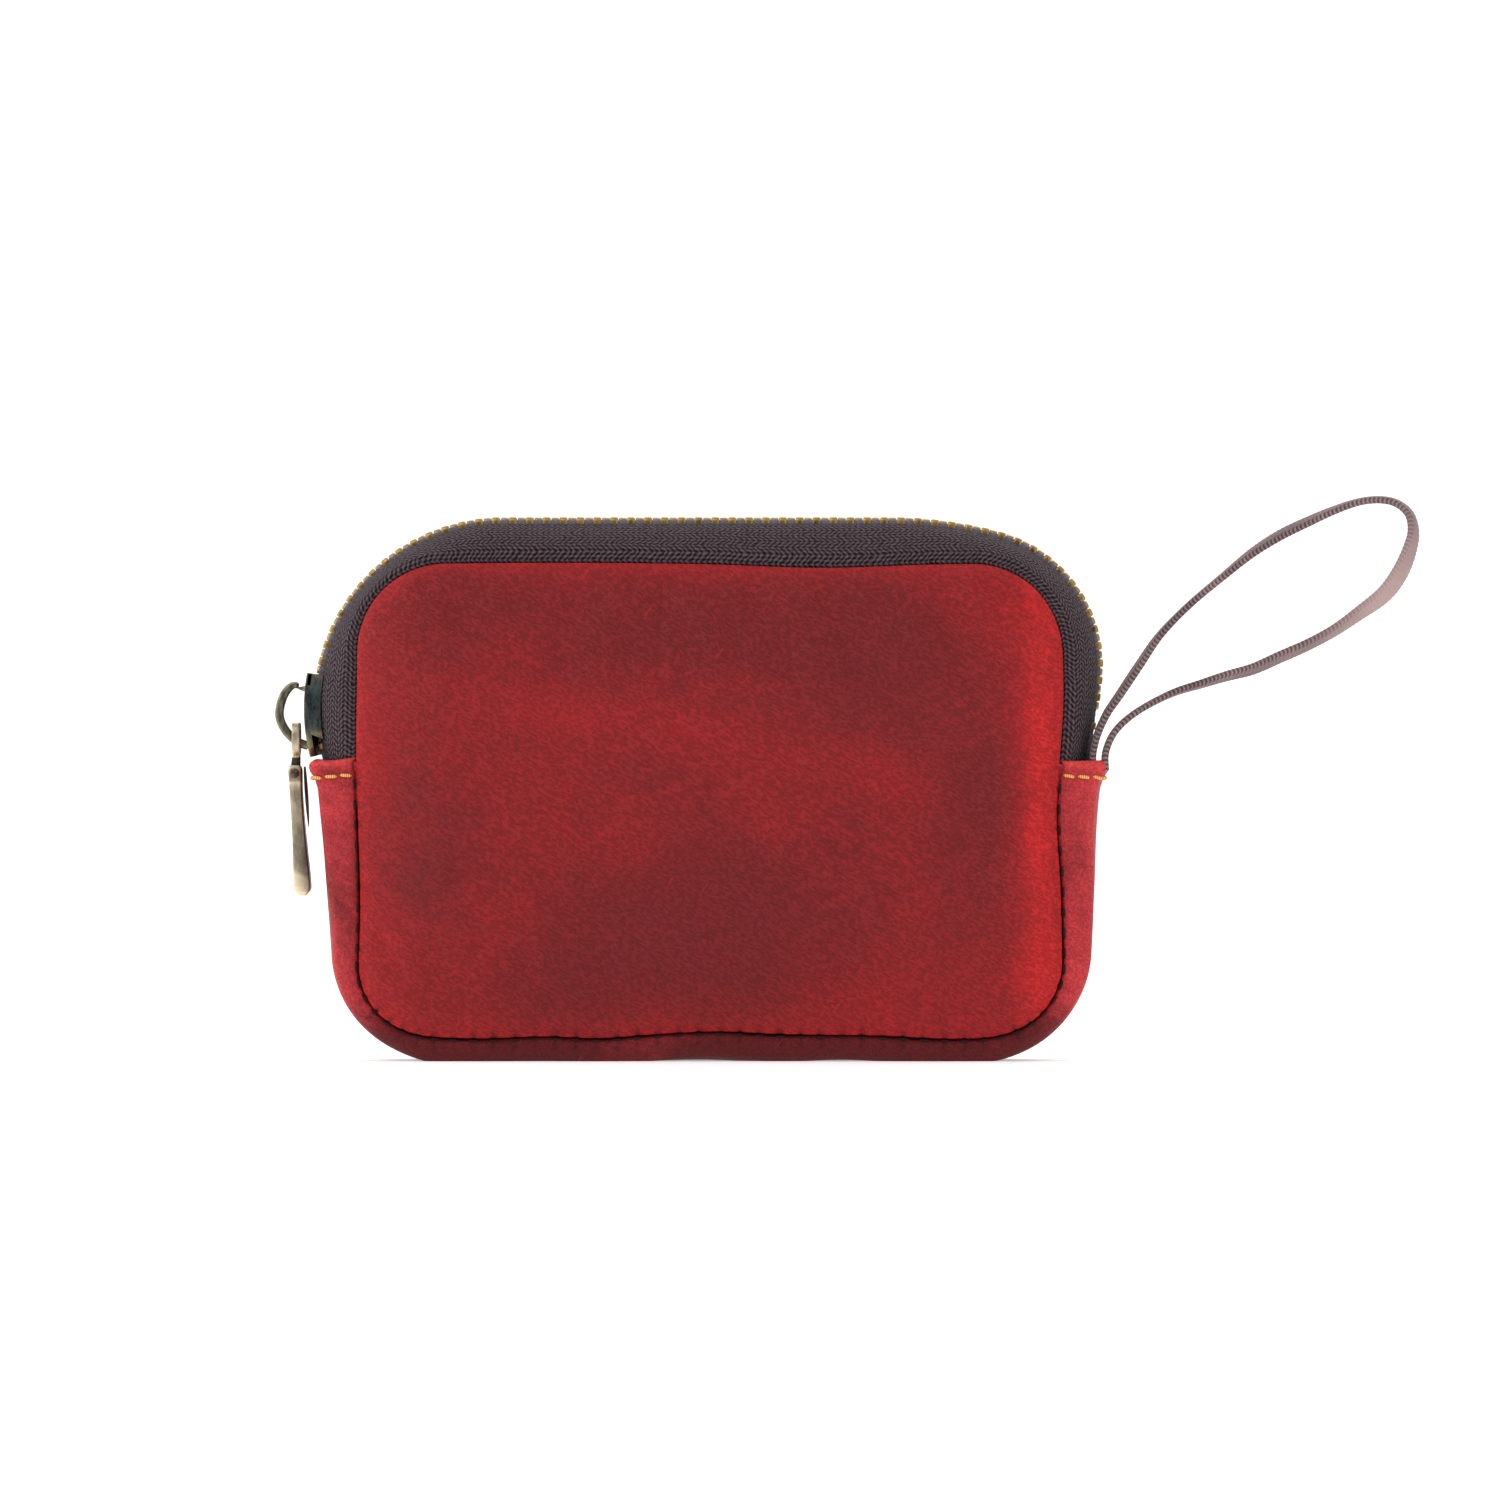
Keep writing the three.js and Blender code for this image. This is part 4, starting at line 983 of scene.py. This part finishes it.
def tape_height(distance, y):
    arch = 1 - (np.abs(y) / SEAM_Y).clip(0, 1) ** 2.2
    return TAPE_THICKNESS / 2 + (ZIP.reach(distance) - TAPE_THICKNESS / 2) * arch


def zip_tape(side, name):
    rows = int(round(ZIP.length / 0.55))
    distance = np.linspace(0, ZIP.length, rows + 1)[:, None]
    depths = SEAM_Y - (SEAM_Y - TAPE_INNER) * np.linspace(0, 1, 26) ** 1.15
    depths = depths[depths < SEAM_Y - 0.9]
    tucked = [(SEAM_Y - 1.5, -1.0), (SEAM_Y - 1.1, -0.5), (SEAM_Y - 0.85, 0.0)]
    depth = np.array([d for d, _ in tucked] + list(depths))[None, :]
    start = np.array([out for _, out in tucked])[None, :] + 0 * distance
    out = np.concatenate([start, tape_height(distance, depth[:, len(tucked) :])], axis=1)
    near_seam = np.exp(-(((SEAM_Y - depth) / 1.6) ** 2))
    uneven = wander(21 + side, distance + 0 * depth, depth + 0 * distance, 8) * 0.12
    puckers = np.sin(distance / 1.05) * 0.07 * near_seam
    out = out + (uneven * (1 - near_seam) + puckers) * ease(depth, TAPE_INNER, 4)
    points = settle(ZIP.from_seam(distance, out, side * depth))
    shape = Shape()
    shape.add(points, grid_faces(rows + 1, depth.shape[1]))
    steps = np.linalg.norm(np.diff(points, axis=1), axis=2)
    across = np.concatenate([np.zeros((rows + 1, 1)), np.cumsum(steps, axis=1)], axis=1)
    uv = np.stack([distance + 0 * across, across], axis=-1)
    # Painted highlight where the tape rises to the bead
    values = {"edge": np.exp(-(((depth - TAPE_INNER) / 0.35) ** 2)) * 0.6 + 0 * distance}
    obj = piece("zip_cloth_" + name, shape, TAPE_FINISH, values, uv)
    thicken(obj, TAPE_THICKNESS, 0)
    apply_modifiers(obj)
    show(obj, "pouch", "zip_tape", "zip_tape_" + name)


def zip_bead(side, name):
    """The corded edge of a tape, which the teeth are clamped to."""
    rows = int(round(ZIP.length / 0.4))
    distance = np.linspace(1, ZIP.length - 0.5, rows + 1)
    turns = np.linspace(0, math.tau, 12, endpoint=False)
    ribs = 1 + 0.06 * np.sin(distance[:, None] * math.tau / 0.8 + turns[None, :])
    y = side * (BEAD_MIDDLE + BEAD_RADIUS * ribs * np.cos(turns)[None, :])
    rise = BEAD_RADIUS * ribs * np.sin(turns)[None, :]
    reach = ZIP.reach(distance)[:, None]
    points = ZIP.from_seam(distance[:, None], reach + rise, y)
    shape = Shape()
    shape.loft(points)
    uv = np.stack(np.broadcast_arrays(distance[:, None], turns[None, :] * BEAD_RADIUS), axis=-1)
    # The value edge paints a highlight along the bead
    obj = piece("zip_bead_" + name, shape, TAPE_FINISH, {"edge": np.full(points.shape[:2], 0.9)}, uv)
    show(obj, "pouch", "zip_tape")


BELOW_SIDE = ZIP_LEFT_RADIUS * math.asin((ARC_CENTRE[1] - ZIP_LOW) / ZIP_LEFT_RADIUS)
TEETH_START = BELOW_SIDE + ZIP_LEFT_RADIUS * DIVIDER_HIGH + GAP
STOP_TOP = HEM_HEIGHT + BOTTOM_STOP_RISE + STOP_LENGTH
TEETH_END = ZIP.length - (STOP_TOP - ZIP_LOW) / math.cos(RIGHT_TURN_IN) - GAP

# A tooth from its clamp to its head: distance from the middle plane, half length and half height.
TOOTH_SECTIONS = [
    (2.46, 0.3, 0.3), (2.4, 0.48, 0.7), (2.2, 0.6, 0.9), (1.35, 0.62, 0.98), (0.8, 0.46, 0.9),
    (0.3, 0.4, 0.84), (-0.3, 0.5, 0.88), (-0.74, 0.48, 0.78), (-0.95, 0.28, 0.46),
]


def rounded(half_a, half_b, radius, steps=3):
    """A rectangle with round corners, as pairs, anticlockwise."""
    points = []
    for quarter, (sa, sb) in enumerate(((1, 1), (-1, 1), (-1, -1), (1, -1))):
        for angle in np.linspace(0, math.pi / 2, steps + 1) + quarter * math.pi / 2:
            a = sa * (half_a - radius) + radius * math.cos(angle)
            b = sb * (half_b - radius) + radius * math.sin(angle)
            points.append((a, b))
    return np.array(points)


def add_tooth(shape, distance, side, sections):
    distance = np.array(distance)
    point, along, out = ZIP.at(distance), ZIP.tangent(distance), ZIP.outward(distance)
    base = np.array([point[0], 0, point[1]])
    along, out = np.array([along[0], 0, along[1]]), np.array([out[0], 0, out[1]])
    rings = []
    for depth, half_length, half_height in sections:
        outline = rounded(half_length, half_height, min(half_length, half_height) * 0.4, 2)
        ring = base + outline[:, :1] * along + outline[:, 1:] * out
        ring[:, 1] = side * depth
        rings.append(ring)
    shape.loft(rings)


def zip_teeth(side, name):
    """The two rows mesh: the back row's teeth stand half a pitch further along."""
    shape = Shape()
    first = TEETH_START + 0.5 + (TOOTH_PITCH / 2 if side > 0 else 0)
    count = int((TEETH_END - TEETH_START - TOOTH_PITCH) / TOOTH_PITCH) + 1
    for i in range(count):
        add_tooth(shape, first + i * TOOTH_PITCH, side, TOOTH_SECTIONS)
    obj = piece("zip_teeth_row_" + name, shape, TEETH_FINISH)
    show(obj, "pouch", "zip_teeth", "zip_teeth_" + name)


def stops():
    """Small blocks that are clamped on at both ends of the teeth."""
    top_at = BELOW_SIDE + ZIP_LEFT_RADIUS * SLIDER_LOW + STOP_LENGTH
    top_sections = [(2.4, 0.4, 0.5), (2.3, 0.56, 0.7), (1.3, 0.58, 0.74), (1.15, 0.4, 0.5)]
    for side, name in ((-1, "front"), (1, "back")):
        shape = Shape()
        add_tooth(shape, top_at, side, top_sections)
        obj = piece("top_stop_metal_" + name, shape, TEETH_FINISH)
        show(obj, "pouch", "zip_teeth", "top_stop_" + name)
    shape = Shape()
    depths = [(2.2, 0.3, 0.4), (2.1, 0.55, 0.74), (0, 0.6, 0.78), (-2.1, 0.55, 0.74), (-2.2, 0.3, 0.4)]
    add_tooth(shape, TEETH_END + GAP + STOP_LENGTH / 2, 1, depths)
    obj = piece("bottom_stop_metal", shape, TEETH_FINISH)
    show(obj, "pouch", "zip_teeth", "bottom_stop")


# ---- Slider ----

def on_arc(radius, angle, y):
    """A point round the centre of the left arc; angles start at its side and go up."""
    x = ARC_CENTRE[0] - radius * np.cos(angle)
    z = ARC_CENTRE[1] + radius * np.sin(angle)
    return np.stack(np.broadcast_arrays(x, y, z), axis=-1)


def slider_half_width(angle):
    """The slider is wide where the tapes come in and narrow where they leave it together."""
    up = (angle - SLIDER_LOW) / (SLIDER_HIGH - SLIDER_LOW)
    return SLIDER_HALF_WIDTH * (1 - 0.16 * ease(up, 0.35, 0.8)) * (1 - 0.22 * ease(-up, -0.1, 0))


def add_plate(shape, inner, outer, low, high, crown, scale=1.0):
    """A curved plate, a little domed across."""
    shares = np.linspace(-1, 1, 9)
    rings = []
    for angle in np.linspace(low, high, 15):
        half = slider_half_width(angle) * scale
        top = on_arc(outer + crown * (1 - shares**2), angle, shares * half)
        base = on_arc(inner, angle, shares[::-1] * half)
        rings.append(np.concatenate([top, base]))
    shape.loft(rings)


def add_flange(shape, side):
    """The side of the upper plate, bent in round the teeth, cut off slanting at its lower end."""
    rings = []
    for t in np.linspace(0, 1, 15):
        half = slider_half_width(FLANGE_LOW + (SLIDER_HIGH - FLANGE_LOW) * t)
        outline = rounded((PLATE_OUTER - 0.1 - FLANGE_INNER) / 2, 0.42, 0.25, 3)
        middle = (PLATE_OUTER - 0.1 + FLANGE_INNER) / 2
        ring = []
        for a, b in outline:
            slant = 0.02 * (a - 0.5) * (1 - t)
            angle = FLANGE_LOW + (SLIDER_HIGH - FLANGE_LOW) * t + slant
            ring.append(on_arc(middle + a, angle, side * (half - 0.42 + b)))
        rings.append(ring)
    shape.loft(rings)


def worn_ends(points):
    """1 where the brass shows: the flanges' lower ends and the upper plate's lower edges."""
    away = points[:, [0, 2]] - ARC_CENTRE
    radius, angle = np.hypot(away[:, 0], away[:, 1]), np.arctan2(away[:, 1], -away[:, 0])
    at_side = np.abs(points[:, 1]) > SLIDER_HALF_WIDTH - 1.3
    flange_end = at_side * (radius > FLANGE_INNER - 0.1) * np.exp(-(((angle - FLANGE_LOW) / 0.012) ** 2))
    plate_edge = at_side * (radius > PLATE_INNER + 0.4) * ease(FLANGE_LOW - angle, 0, 0.01)
    return 0.75 * np.clip(flange_end + plate_edge, 0, 1)


def slider_body():
    shape = Shape()
    add_plate(shape, PLATE_INNER, PLATE_OUTER - 0.12, SLIDER_LOW, SLIDER_HIGH, 0.12)
    add_plate(shape, LOWER_PLATE_INNER, LOWER_PLATE_OUTER, SLIDER_LOW, SLIDER_HIGH, 0, 0.74)
    for side in (-1, 1):
        add_flange(shape, side)
    rings = []
    divider = np.linspace(SLIDER_LOW, DIVIDER_HIGH, 7)
    for angle, half in zip(divider, (0.9, 0.9, 0.85, 0.7, 0.5, 0.3, 0.15)):
        rings.append([
            on_arc(r, angle, y) for r, y in (
                (LOWER_PLATE_OUTER - 0.3, -half), (PLATE_INNER + 0.3, -half),
                (PLATE_INNER + 0.3, half), (LOWER_PLATE_OUTER - 0.3, half),
            )
        ])
    shape.loft(rings)
    obj = piece("slider_casting", shape, SLIDER_FINISH)
    face_outwards(obj)
    soften_edges(obj, 0.16)
    apply_modifiers(obj)
    store(obj, "shine", worn_ends(points_of(obj)))
    stand_for(obj, "slider", "slider_metal", "slider_body")


def smooth_line(points, count):
    """Points at even steps along a smooth curve through a few points."""
    points = np.asarray(points, float)
    padded = np.concatenate([[2 * points[0] - points[1]], points, [2 * points[-1] - points[-2]]])
    made = []
    for i in range(len(points) - 1):
        p0, p1, p2, p3 = padded[i : i + 4]
        t = np.linspace(0, 1, 24, endpoint=False)[:, None]
        made.append(0.5 * (2 * p1 + (p2 - p0) * t + (2 * p0 - 5 * p1 + 4 * p2 - p3) * t**2
                           + (3 * p1 - p0 - 3 * p2 + p3) * t**3))
    made = np.concatenate(made + [points[-1:]])
    lengths = np.concatenate([[0], np.cumsum(np.linalg.norm(np.diff(made, axis=0), axis=1))])
    steps = np.linspace(0, lengths[-1], count)
    return np.stack([np.interp(steps, lengths, made[:, i]) for i in range(made.shape[1])], axis=1)


def add_strip(shape, line, thickness, half_width):
    """A flat strip that bends in x and z, with a round cross-section. Sizes may change along it."""
    tangents = unit(np.gradient(line, axis=0))
    rings = []
    for i, (point, tangent) in enumerate(zip(line, tangents)):
        half = thickness[i] / 2
        outline = rounded(half, half_width[i], min(half, half_width[i]) * 0.7)
        normal = np.array([-tangent[1], tangent[0]])
        flat = point + outline[:, :1] * normal
        rings.append(np.stack([flat[:, 0], outline[:, 1], flat[:, 1]], axis=1))
    shape.loft(rings)


def plate_x(z):
    """Where the upper plate's outer face is at this height."""
    return ARC_CENTRE[0] - math.sqrt(PLATE_OUTER**2 - (z - ARC_CENTRE[1]) ** 2)


def slider_crown():
    """The bridge that the link hangs on: it rises from its lower foot and ends in a hook by a small pin."""
    middle = SLIDER_Z - 0.4
    route = [
        (plate_x(middle - 4.4) + 0.1, middle - 4.4), (plate_x(middle - 3.7) - 1.6, middle - 3.6),
        (plate_x(middle - 2) - 3.0, middle - 2), (plate_x(middle) - 3.75, middle + 0.3),
        (plate_x(middle + 3) - 3.2, middle + 3.1), (plate_x(middle + 4.4) - 2.0, middle + 4.75),
        (plate_x(middle + 4.6) - 0.95, middle + 4.8),
    ]
    line = smooth_line(route, 40)
    t = np.linspace(0, 1, 40)
    thickness = (1.3 - 0.3 * ease(t, 0.75, 1)) * np.where(t > 0.985, 0.6, 1)
    half_width = np.where(t > 0.985, 1.12, 1.4)
    shape = Shape()
    add_strip(shape, line, thickness, half_width)
    pin_x = plate_x(middle + 4.3)
    pin_line = smooth_line([(pin_x + 0.2, middle + 4.3), (pin_x - 1.1, middle + 4.4)], 6)
    add_strip(shape, pin_line, np.linspace(1.0, 0.25, 6), np.linspace(0.9, 0.4, 6))
    obj = piece("slider_bridge", shape, CROWN_FINISH, {"shine": np.zeros(sum(map(len, shape.points)))})
    face_outwards(obj)
    soften_edges(obj, 0.08, 2)
    apply_modifiers(obj)
    stand_for(obj, "slider", "slider_metal", "slider_crown")


# ---- Pull ----

def pull_link():
    """A rounded frame that hangs in the bridge, with a lug for the rivet below it."""
    high = box_mm("pull_link")[1]
    top, frame_low = high[2], high[2] - LINK_LENGTH
    half = high[1]
    corner = 1.3
    shape = Shape()
    centre_z = (top + frame_low) / 2
    bar = 0.62
    path = rounded(half - bar, (top - frame_low) / 2 - bar, corner, 6)
    ahead = unit(np.roll(path, -1, axis=0) - np.roll(path, 1, axis=0))
    rings = []
    for (y, z), (ty, tz) in zip(path, ahead):
        section = rounded(0.66, bar, 0.3, 3)
        ring = [(PIVOT[0] + a, y + b * tz, centre_z + z - b * ty) for a, b in section]
        rings.append(ring)
    shape.ring(np.array(rings))
    lug = []
    for z, thick, wide in (
        (frame_low + 0.9, 0.45, 1.0), (frame_low + 0.1, 0.62, 1.2), (frame_low - 0.1, 0.62, 1.2),
        (frame_low - 0.3, 0.64, 1.2), (RIVET[1] + 1.0, 0.72, 1.2),
        (RIVET[1], 0.95, 1.2), (RIVET[1] - 0.75, 0.7, 1.1), (RIVET[1] - 0.98, 0.3, 0.7),
    ):
        x = np.interp(z, [RIVET[1], frame_low], [RIVET[0], PIVOT[0]])
        lug.append([(x + a, b, z) for a, b in rounded(thick, wide, 0.25, 3)])
    shape.loft(lug)
    obj = piece("link_casting", shape, PULL_FINISH)
    heights = np.concatenate(shape.points)[:, 2]
    store(obj, "shine", 0.8 * np.exp(-(((heights - frame_low - 0.3) / 0.35) ** 2)))
    # Painted shade in the recessed neck below the frame
    store(obj, "shade", 0.95 * ease(frame_low - 0.05 - heights, 0, 0.25))
    show(obj, "link", "pull_metal", "pull_link")


def pull_leaf():
    """A thin pointed leaf behind the tab."""
    low, high = box_mm("pull_leaf")
    z = np.linspace(high[2], low[2], 24)
    t = np.linspace(0, 1, 24)
    thickness = 0.5 * np.sin(math.pi * (0.12 + 0.86 * t)) ** 0.6
    x = np.linspace(low[0] + 0.25, high[0] - 0.2, 24)
    half = 1.0 - 0.75 * ease(t, 0.55, 1)
    shape = Shape()
    add_strip(shape, np.stack([x, z], axis=1), thickness, half)
    obj = piece("leaf_metal", shape, LEAF_FINISH)
    show(obj, "link", "slider_metal", "pull_leaf")


def lathe_y(shape, x, z, profile, sides=28):
    """Turns a profile of depth and radius about a line along y."""
    turns = np.linspace(0, math.tau, sides, endpoint=False)
    rings = [[(x + r * math.cos(a), y, z + r * math.sin(a)) for a in turns] for y, r in profile]
    shape.loft(rings)


def pull_rivet():
    reach = box_mm("pull_rivet")[1][1]
    half_profile = [(0, 0.45), (reach - 0.42, 0.45), (reach - 0.42, 0.62), (reach - 0.34, 0.72),
                    (reach - 0.16, 0.7), (reach - 0.04, 0.52), (reach, 0.22)]
    profile = [(-y, r) for y, r in reversed(half_profile[1:])] + half_profile
    shape = Shape()
    lathe_y(shape, RIVET[0], RIVET[1], profile)
    obj = piece("rivet_metal", shape, LEAF_FINISH)
    show(obj, "pull", "pull_metal", "pull_rivet")


def pull_tab():
    """A long bar, forked round the rivet, that grows thicker and wider towards its worn end."""
    low, high = box_mm("pull_tab")
    top, bottom = high[2], low[2]
    fork_low = RIVET[1] - 1.55
    slot_half = 1.5
    length = top - bottom

    def section(z, y0=None, y1=None):
        t = (top - z) / length
        x = RIVET[0] + TAB_LEAN * ease(t, -0.1, 1.1) * 0.98
        end = ease(t, 0.93, 1.0)
        waist = 0.1 * np.sin(math.pi * np.clip(t / 0.6, 0, 1))
        thick = (1.04 + 0.26 * ease(t, 0.55, 0.95) - waist) * (1 - 0.55 * end**2)
        wide = 3.0 + 0.5 * ease(t, 0.3, 0.95) - 0.9 * end**2
        a0, a1 = (-wide, wide) if y0 is None else (y0, y1)
        outline = rounded(thick, (a1 - a0) / 2, 0.32, 4)
        return [(x + a, (a0 + a1) / 2 + b, z) for a, b in outline]

    shape = Shape()
    round_end = bottom + np.array([1.1, 0.7, 0.4, 0.15, 0.0])
    heights = np.concatenate([np.linspace(fork_low + 0.2, bottom + 1.6, 20), round_end])
    shape.loft([section(z) for z in heights])
    for side in (-1, 1):
        rings = []
        for z, grow in zip(np.linspace(top, fork_low, 8), (0.72, 0.93, 1, 1, 1, 1, 1, 1)):
            y0, y1 = sorted((side * slot_half, side * 3.0))
            ring = np.array(section(z, y0, y1))
            middle = ring.mean(0)
            rings.append(middle + (ring - middle) * grow)
        shape.loft(rings)
    obj = piece("tab_casting", shape, PULL_FINISH)
    points = np.concatenate(shape.points)
    line = bottom + 4.5 - 0.55 * (points[:, 0] - RIVET[0]) + 0.25 * np.sin(points[:, 1] * 2.1)
    store(obj, "shine", 0.9 * ease(line - points[:, 2], 0, 0.7))
    across = points[:, 0] - np.interp(points[:, 2], [bottom, top], [RIVET[0] + TAB_LEAN, RIVET[0]])
    # Painted shade along the tab's right edge, its side away from the light
    store(obj, "shade", 0.7 * ease(across, 0.45, 0.95))
    face_outwards(obj)
    soften_edges(obj, 0.12, 2)
    apply_modifiers(obj)
    stand_for(obj, "pull", "pull_metal", "pull_tab")


# ---- Wrist loop ----

def braid_twist(share):
    """How far the braid has turned its face to the front, by the share of its length."""
    turn = 9 * np.exp(-(((share - 0.36) / 0.07) ** 2)) + 25 * np.exp(-(((share - 0.585) / 0.075) ** 2))
    turn = turn + 12 * np.exp(-(((share - 0.75) / 0.1) ** 2)) + 5 * np.exp(-(((share - 0.12) / 0.06) ** 2))
    return np.radians(turn)


def braid_outline():
    """The flat section of the braid, thick first and then wide, with many points along its faces."""
    half_thick, half_wide = BRAID_THICKNESS / 2 - 0.08, BRAID_WIDTH / 2 - 0.08
    corners = np.split(rounded(half_thick, half_wide, 0.36, 4), 4)
    along = np.linspace(-1, 1, 25)[1:-1] * (half_wide - 0.38)
    face = np.stack([np.full(len(along), half_thick), along], axis=1)
    return np.concatenate([face, corners[0], corners[1], -face, corners[2], corners[3]])


def loop_line(count):
    """The loop's middle line, carried on straight down into the hem at both ends."""
    route = np.array(LOOP_ROUTE) / MM
    tuck = np.array([0, 0, LOOP_TUCK])
    return smooth_line(np.concatenate([[route[0] - tuck], route, [route[-1] - tuck]]), count)


def wrist_loop():
    count = 900
    line = loop_line(count)
    share = np.linspace(0, 1, count)
    length = np.linalg.norm(np.diff(line, axis=0), axis=1).sum()
    outline = braid_outline()
    through, across = outline[:, 0][None, :], outline[:, 1][None, :]
    chevron = np.abs(((across + 0.5) / 1.0) % 2 - 1) * 1.0
    strands = np.sin(((share * length)[:, None] + 1.1 * chevron) * math.tau / 0.66)
    tangent = unit(np.gradient(line, axis=0))
    outward = unit(np.cross(tangent, np.array([0.0, 1.0, 0.0])))
    outward = outward * np.sign(outward[:, 2:].sum() or 1)
    depth = np.cross(outward, tangent)
    turn = braid_twist(share)[:, None, None]
    outward, depth = outward[:, None, :], depth[:, None, :]
    wide = depth * np.cos(turn) + outward * np.sin(turn)
    thick = outward * np.cos(turn) - depth * np.sin(turn)
    through = through * (1 + 0.1 * strands)
    across = across * (1 + 0.02 * strands)
    points = line[:, None, :] + thick * through[..., None] + wide * across[..., None]
    shape = Shape()
    shape.loft(points)
    rise = 0.5 + 0.5 * strands
    lit = 0.55 * np.exp(-(((share[:, None] - 0.6) / 0.08) ** 2)) * np.ones_like(rise)
    obj = piece("wrist_braid", shape, BRAID_FINISH, {"rise": rise, "lit": lit})
    show(obj, "pouch", "braid", "wrist_loop")


# ---- Building it ----

wrist_loop()
for side, name in ((-1, "front"), (1, "back")):
    panel(side, name)
    zip_tape(side, name)
    zip_bead(side, name)
    zip_teeth(side, name)
    seam_stitches(side, name)
gusset()
hem_stitches(HEM_STITCH, "right")
hem_stitches(GUSSET.length - HEM_STITCH, "left")
stops()
slider_body()
slider_crown()
pull_link()
pull_leaf()
pull_rivet()
pull_tab()


# ---- Floor and light ----

def make_stage():
    """A white sweep: a floor that curves up into a wall."""
    depth = np.linspace(-3, 1.2, 12)
    curve = np.linspace(0, math.pi / 2, 12)
    bend = [(1.2 + math.sin(a), 1 - math.cos(a)) for a in curve[1:]]
    profile = [(y, 0.0) for y in depth] + bend + [(2.2, 4.0)]
    shape = Shape()
    rows = np.array([[(x / MM, y / MM, z / MM) for x in np.linspace(-4, 4, 9)] for y, z in profile])
    shape.add(rows, grid_faces(*rows.shape[:2]))
    finish = Finish("sweep")
    soft = finish.noise(0.002, finish.place(), detail=2)
    finish.set(Base_Color=finish.mix(soft, (0.9, 0.9, 0.9, 1), (0.93, 0.93, 0.93, 1)), Roughness=0.8)
    finish.set(Emission_Color=(1, 1, 1, 1), Emission_Strength=0.38)
    piece("sweep", shape, finish.material)


def area_light(name, place, target, size, power):
    data = bpy.data.lights.new(name, "AREA")
    data.shape = "DISK"
    data.size = size
    data.energy = power
    light = bpy.data.objects.new(name, data)
    bpy.context.scene.collection.objects.link(light)
    light.location = place
    away = np.array(place) - np.array(target)
    tilt = math.atan2(math.hypot(away[0], away[1]), away[2])
    light.rotation_euler = (tilt, 0, math.atan2(away[0], -away[1]))


def make_light():
    world = bpy.data.worlds.new("studio")
    world.use_nodes = True
    background = world.node_tree.nodes["Background"]
    background.inputs["Color"].default_value = (1, 1, 1, 1)
    background.inputs["Strength"].default_value = 0.55
    bpy.context.scene.world = world
    area_light("key", (-0.7, -1.0, 1.1), (0, 0, 0.04), 0.9, 7.5)
    area_light("fill", (1.1, -0.9, 0.5), (0, 0, 0.04), 1.0, 3)
    area_light("left_edge", (-1.2, 0.1, 0.5), (0, 0, 0.04), 0.7, 4)
    area_light("back", (0.3, 1.0, 1.0), (0, 0, 0.04), 1.2, 6)


make_stage()
make_light()
bpy.context.scene.view_settings.view_transform = "Standard"
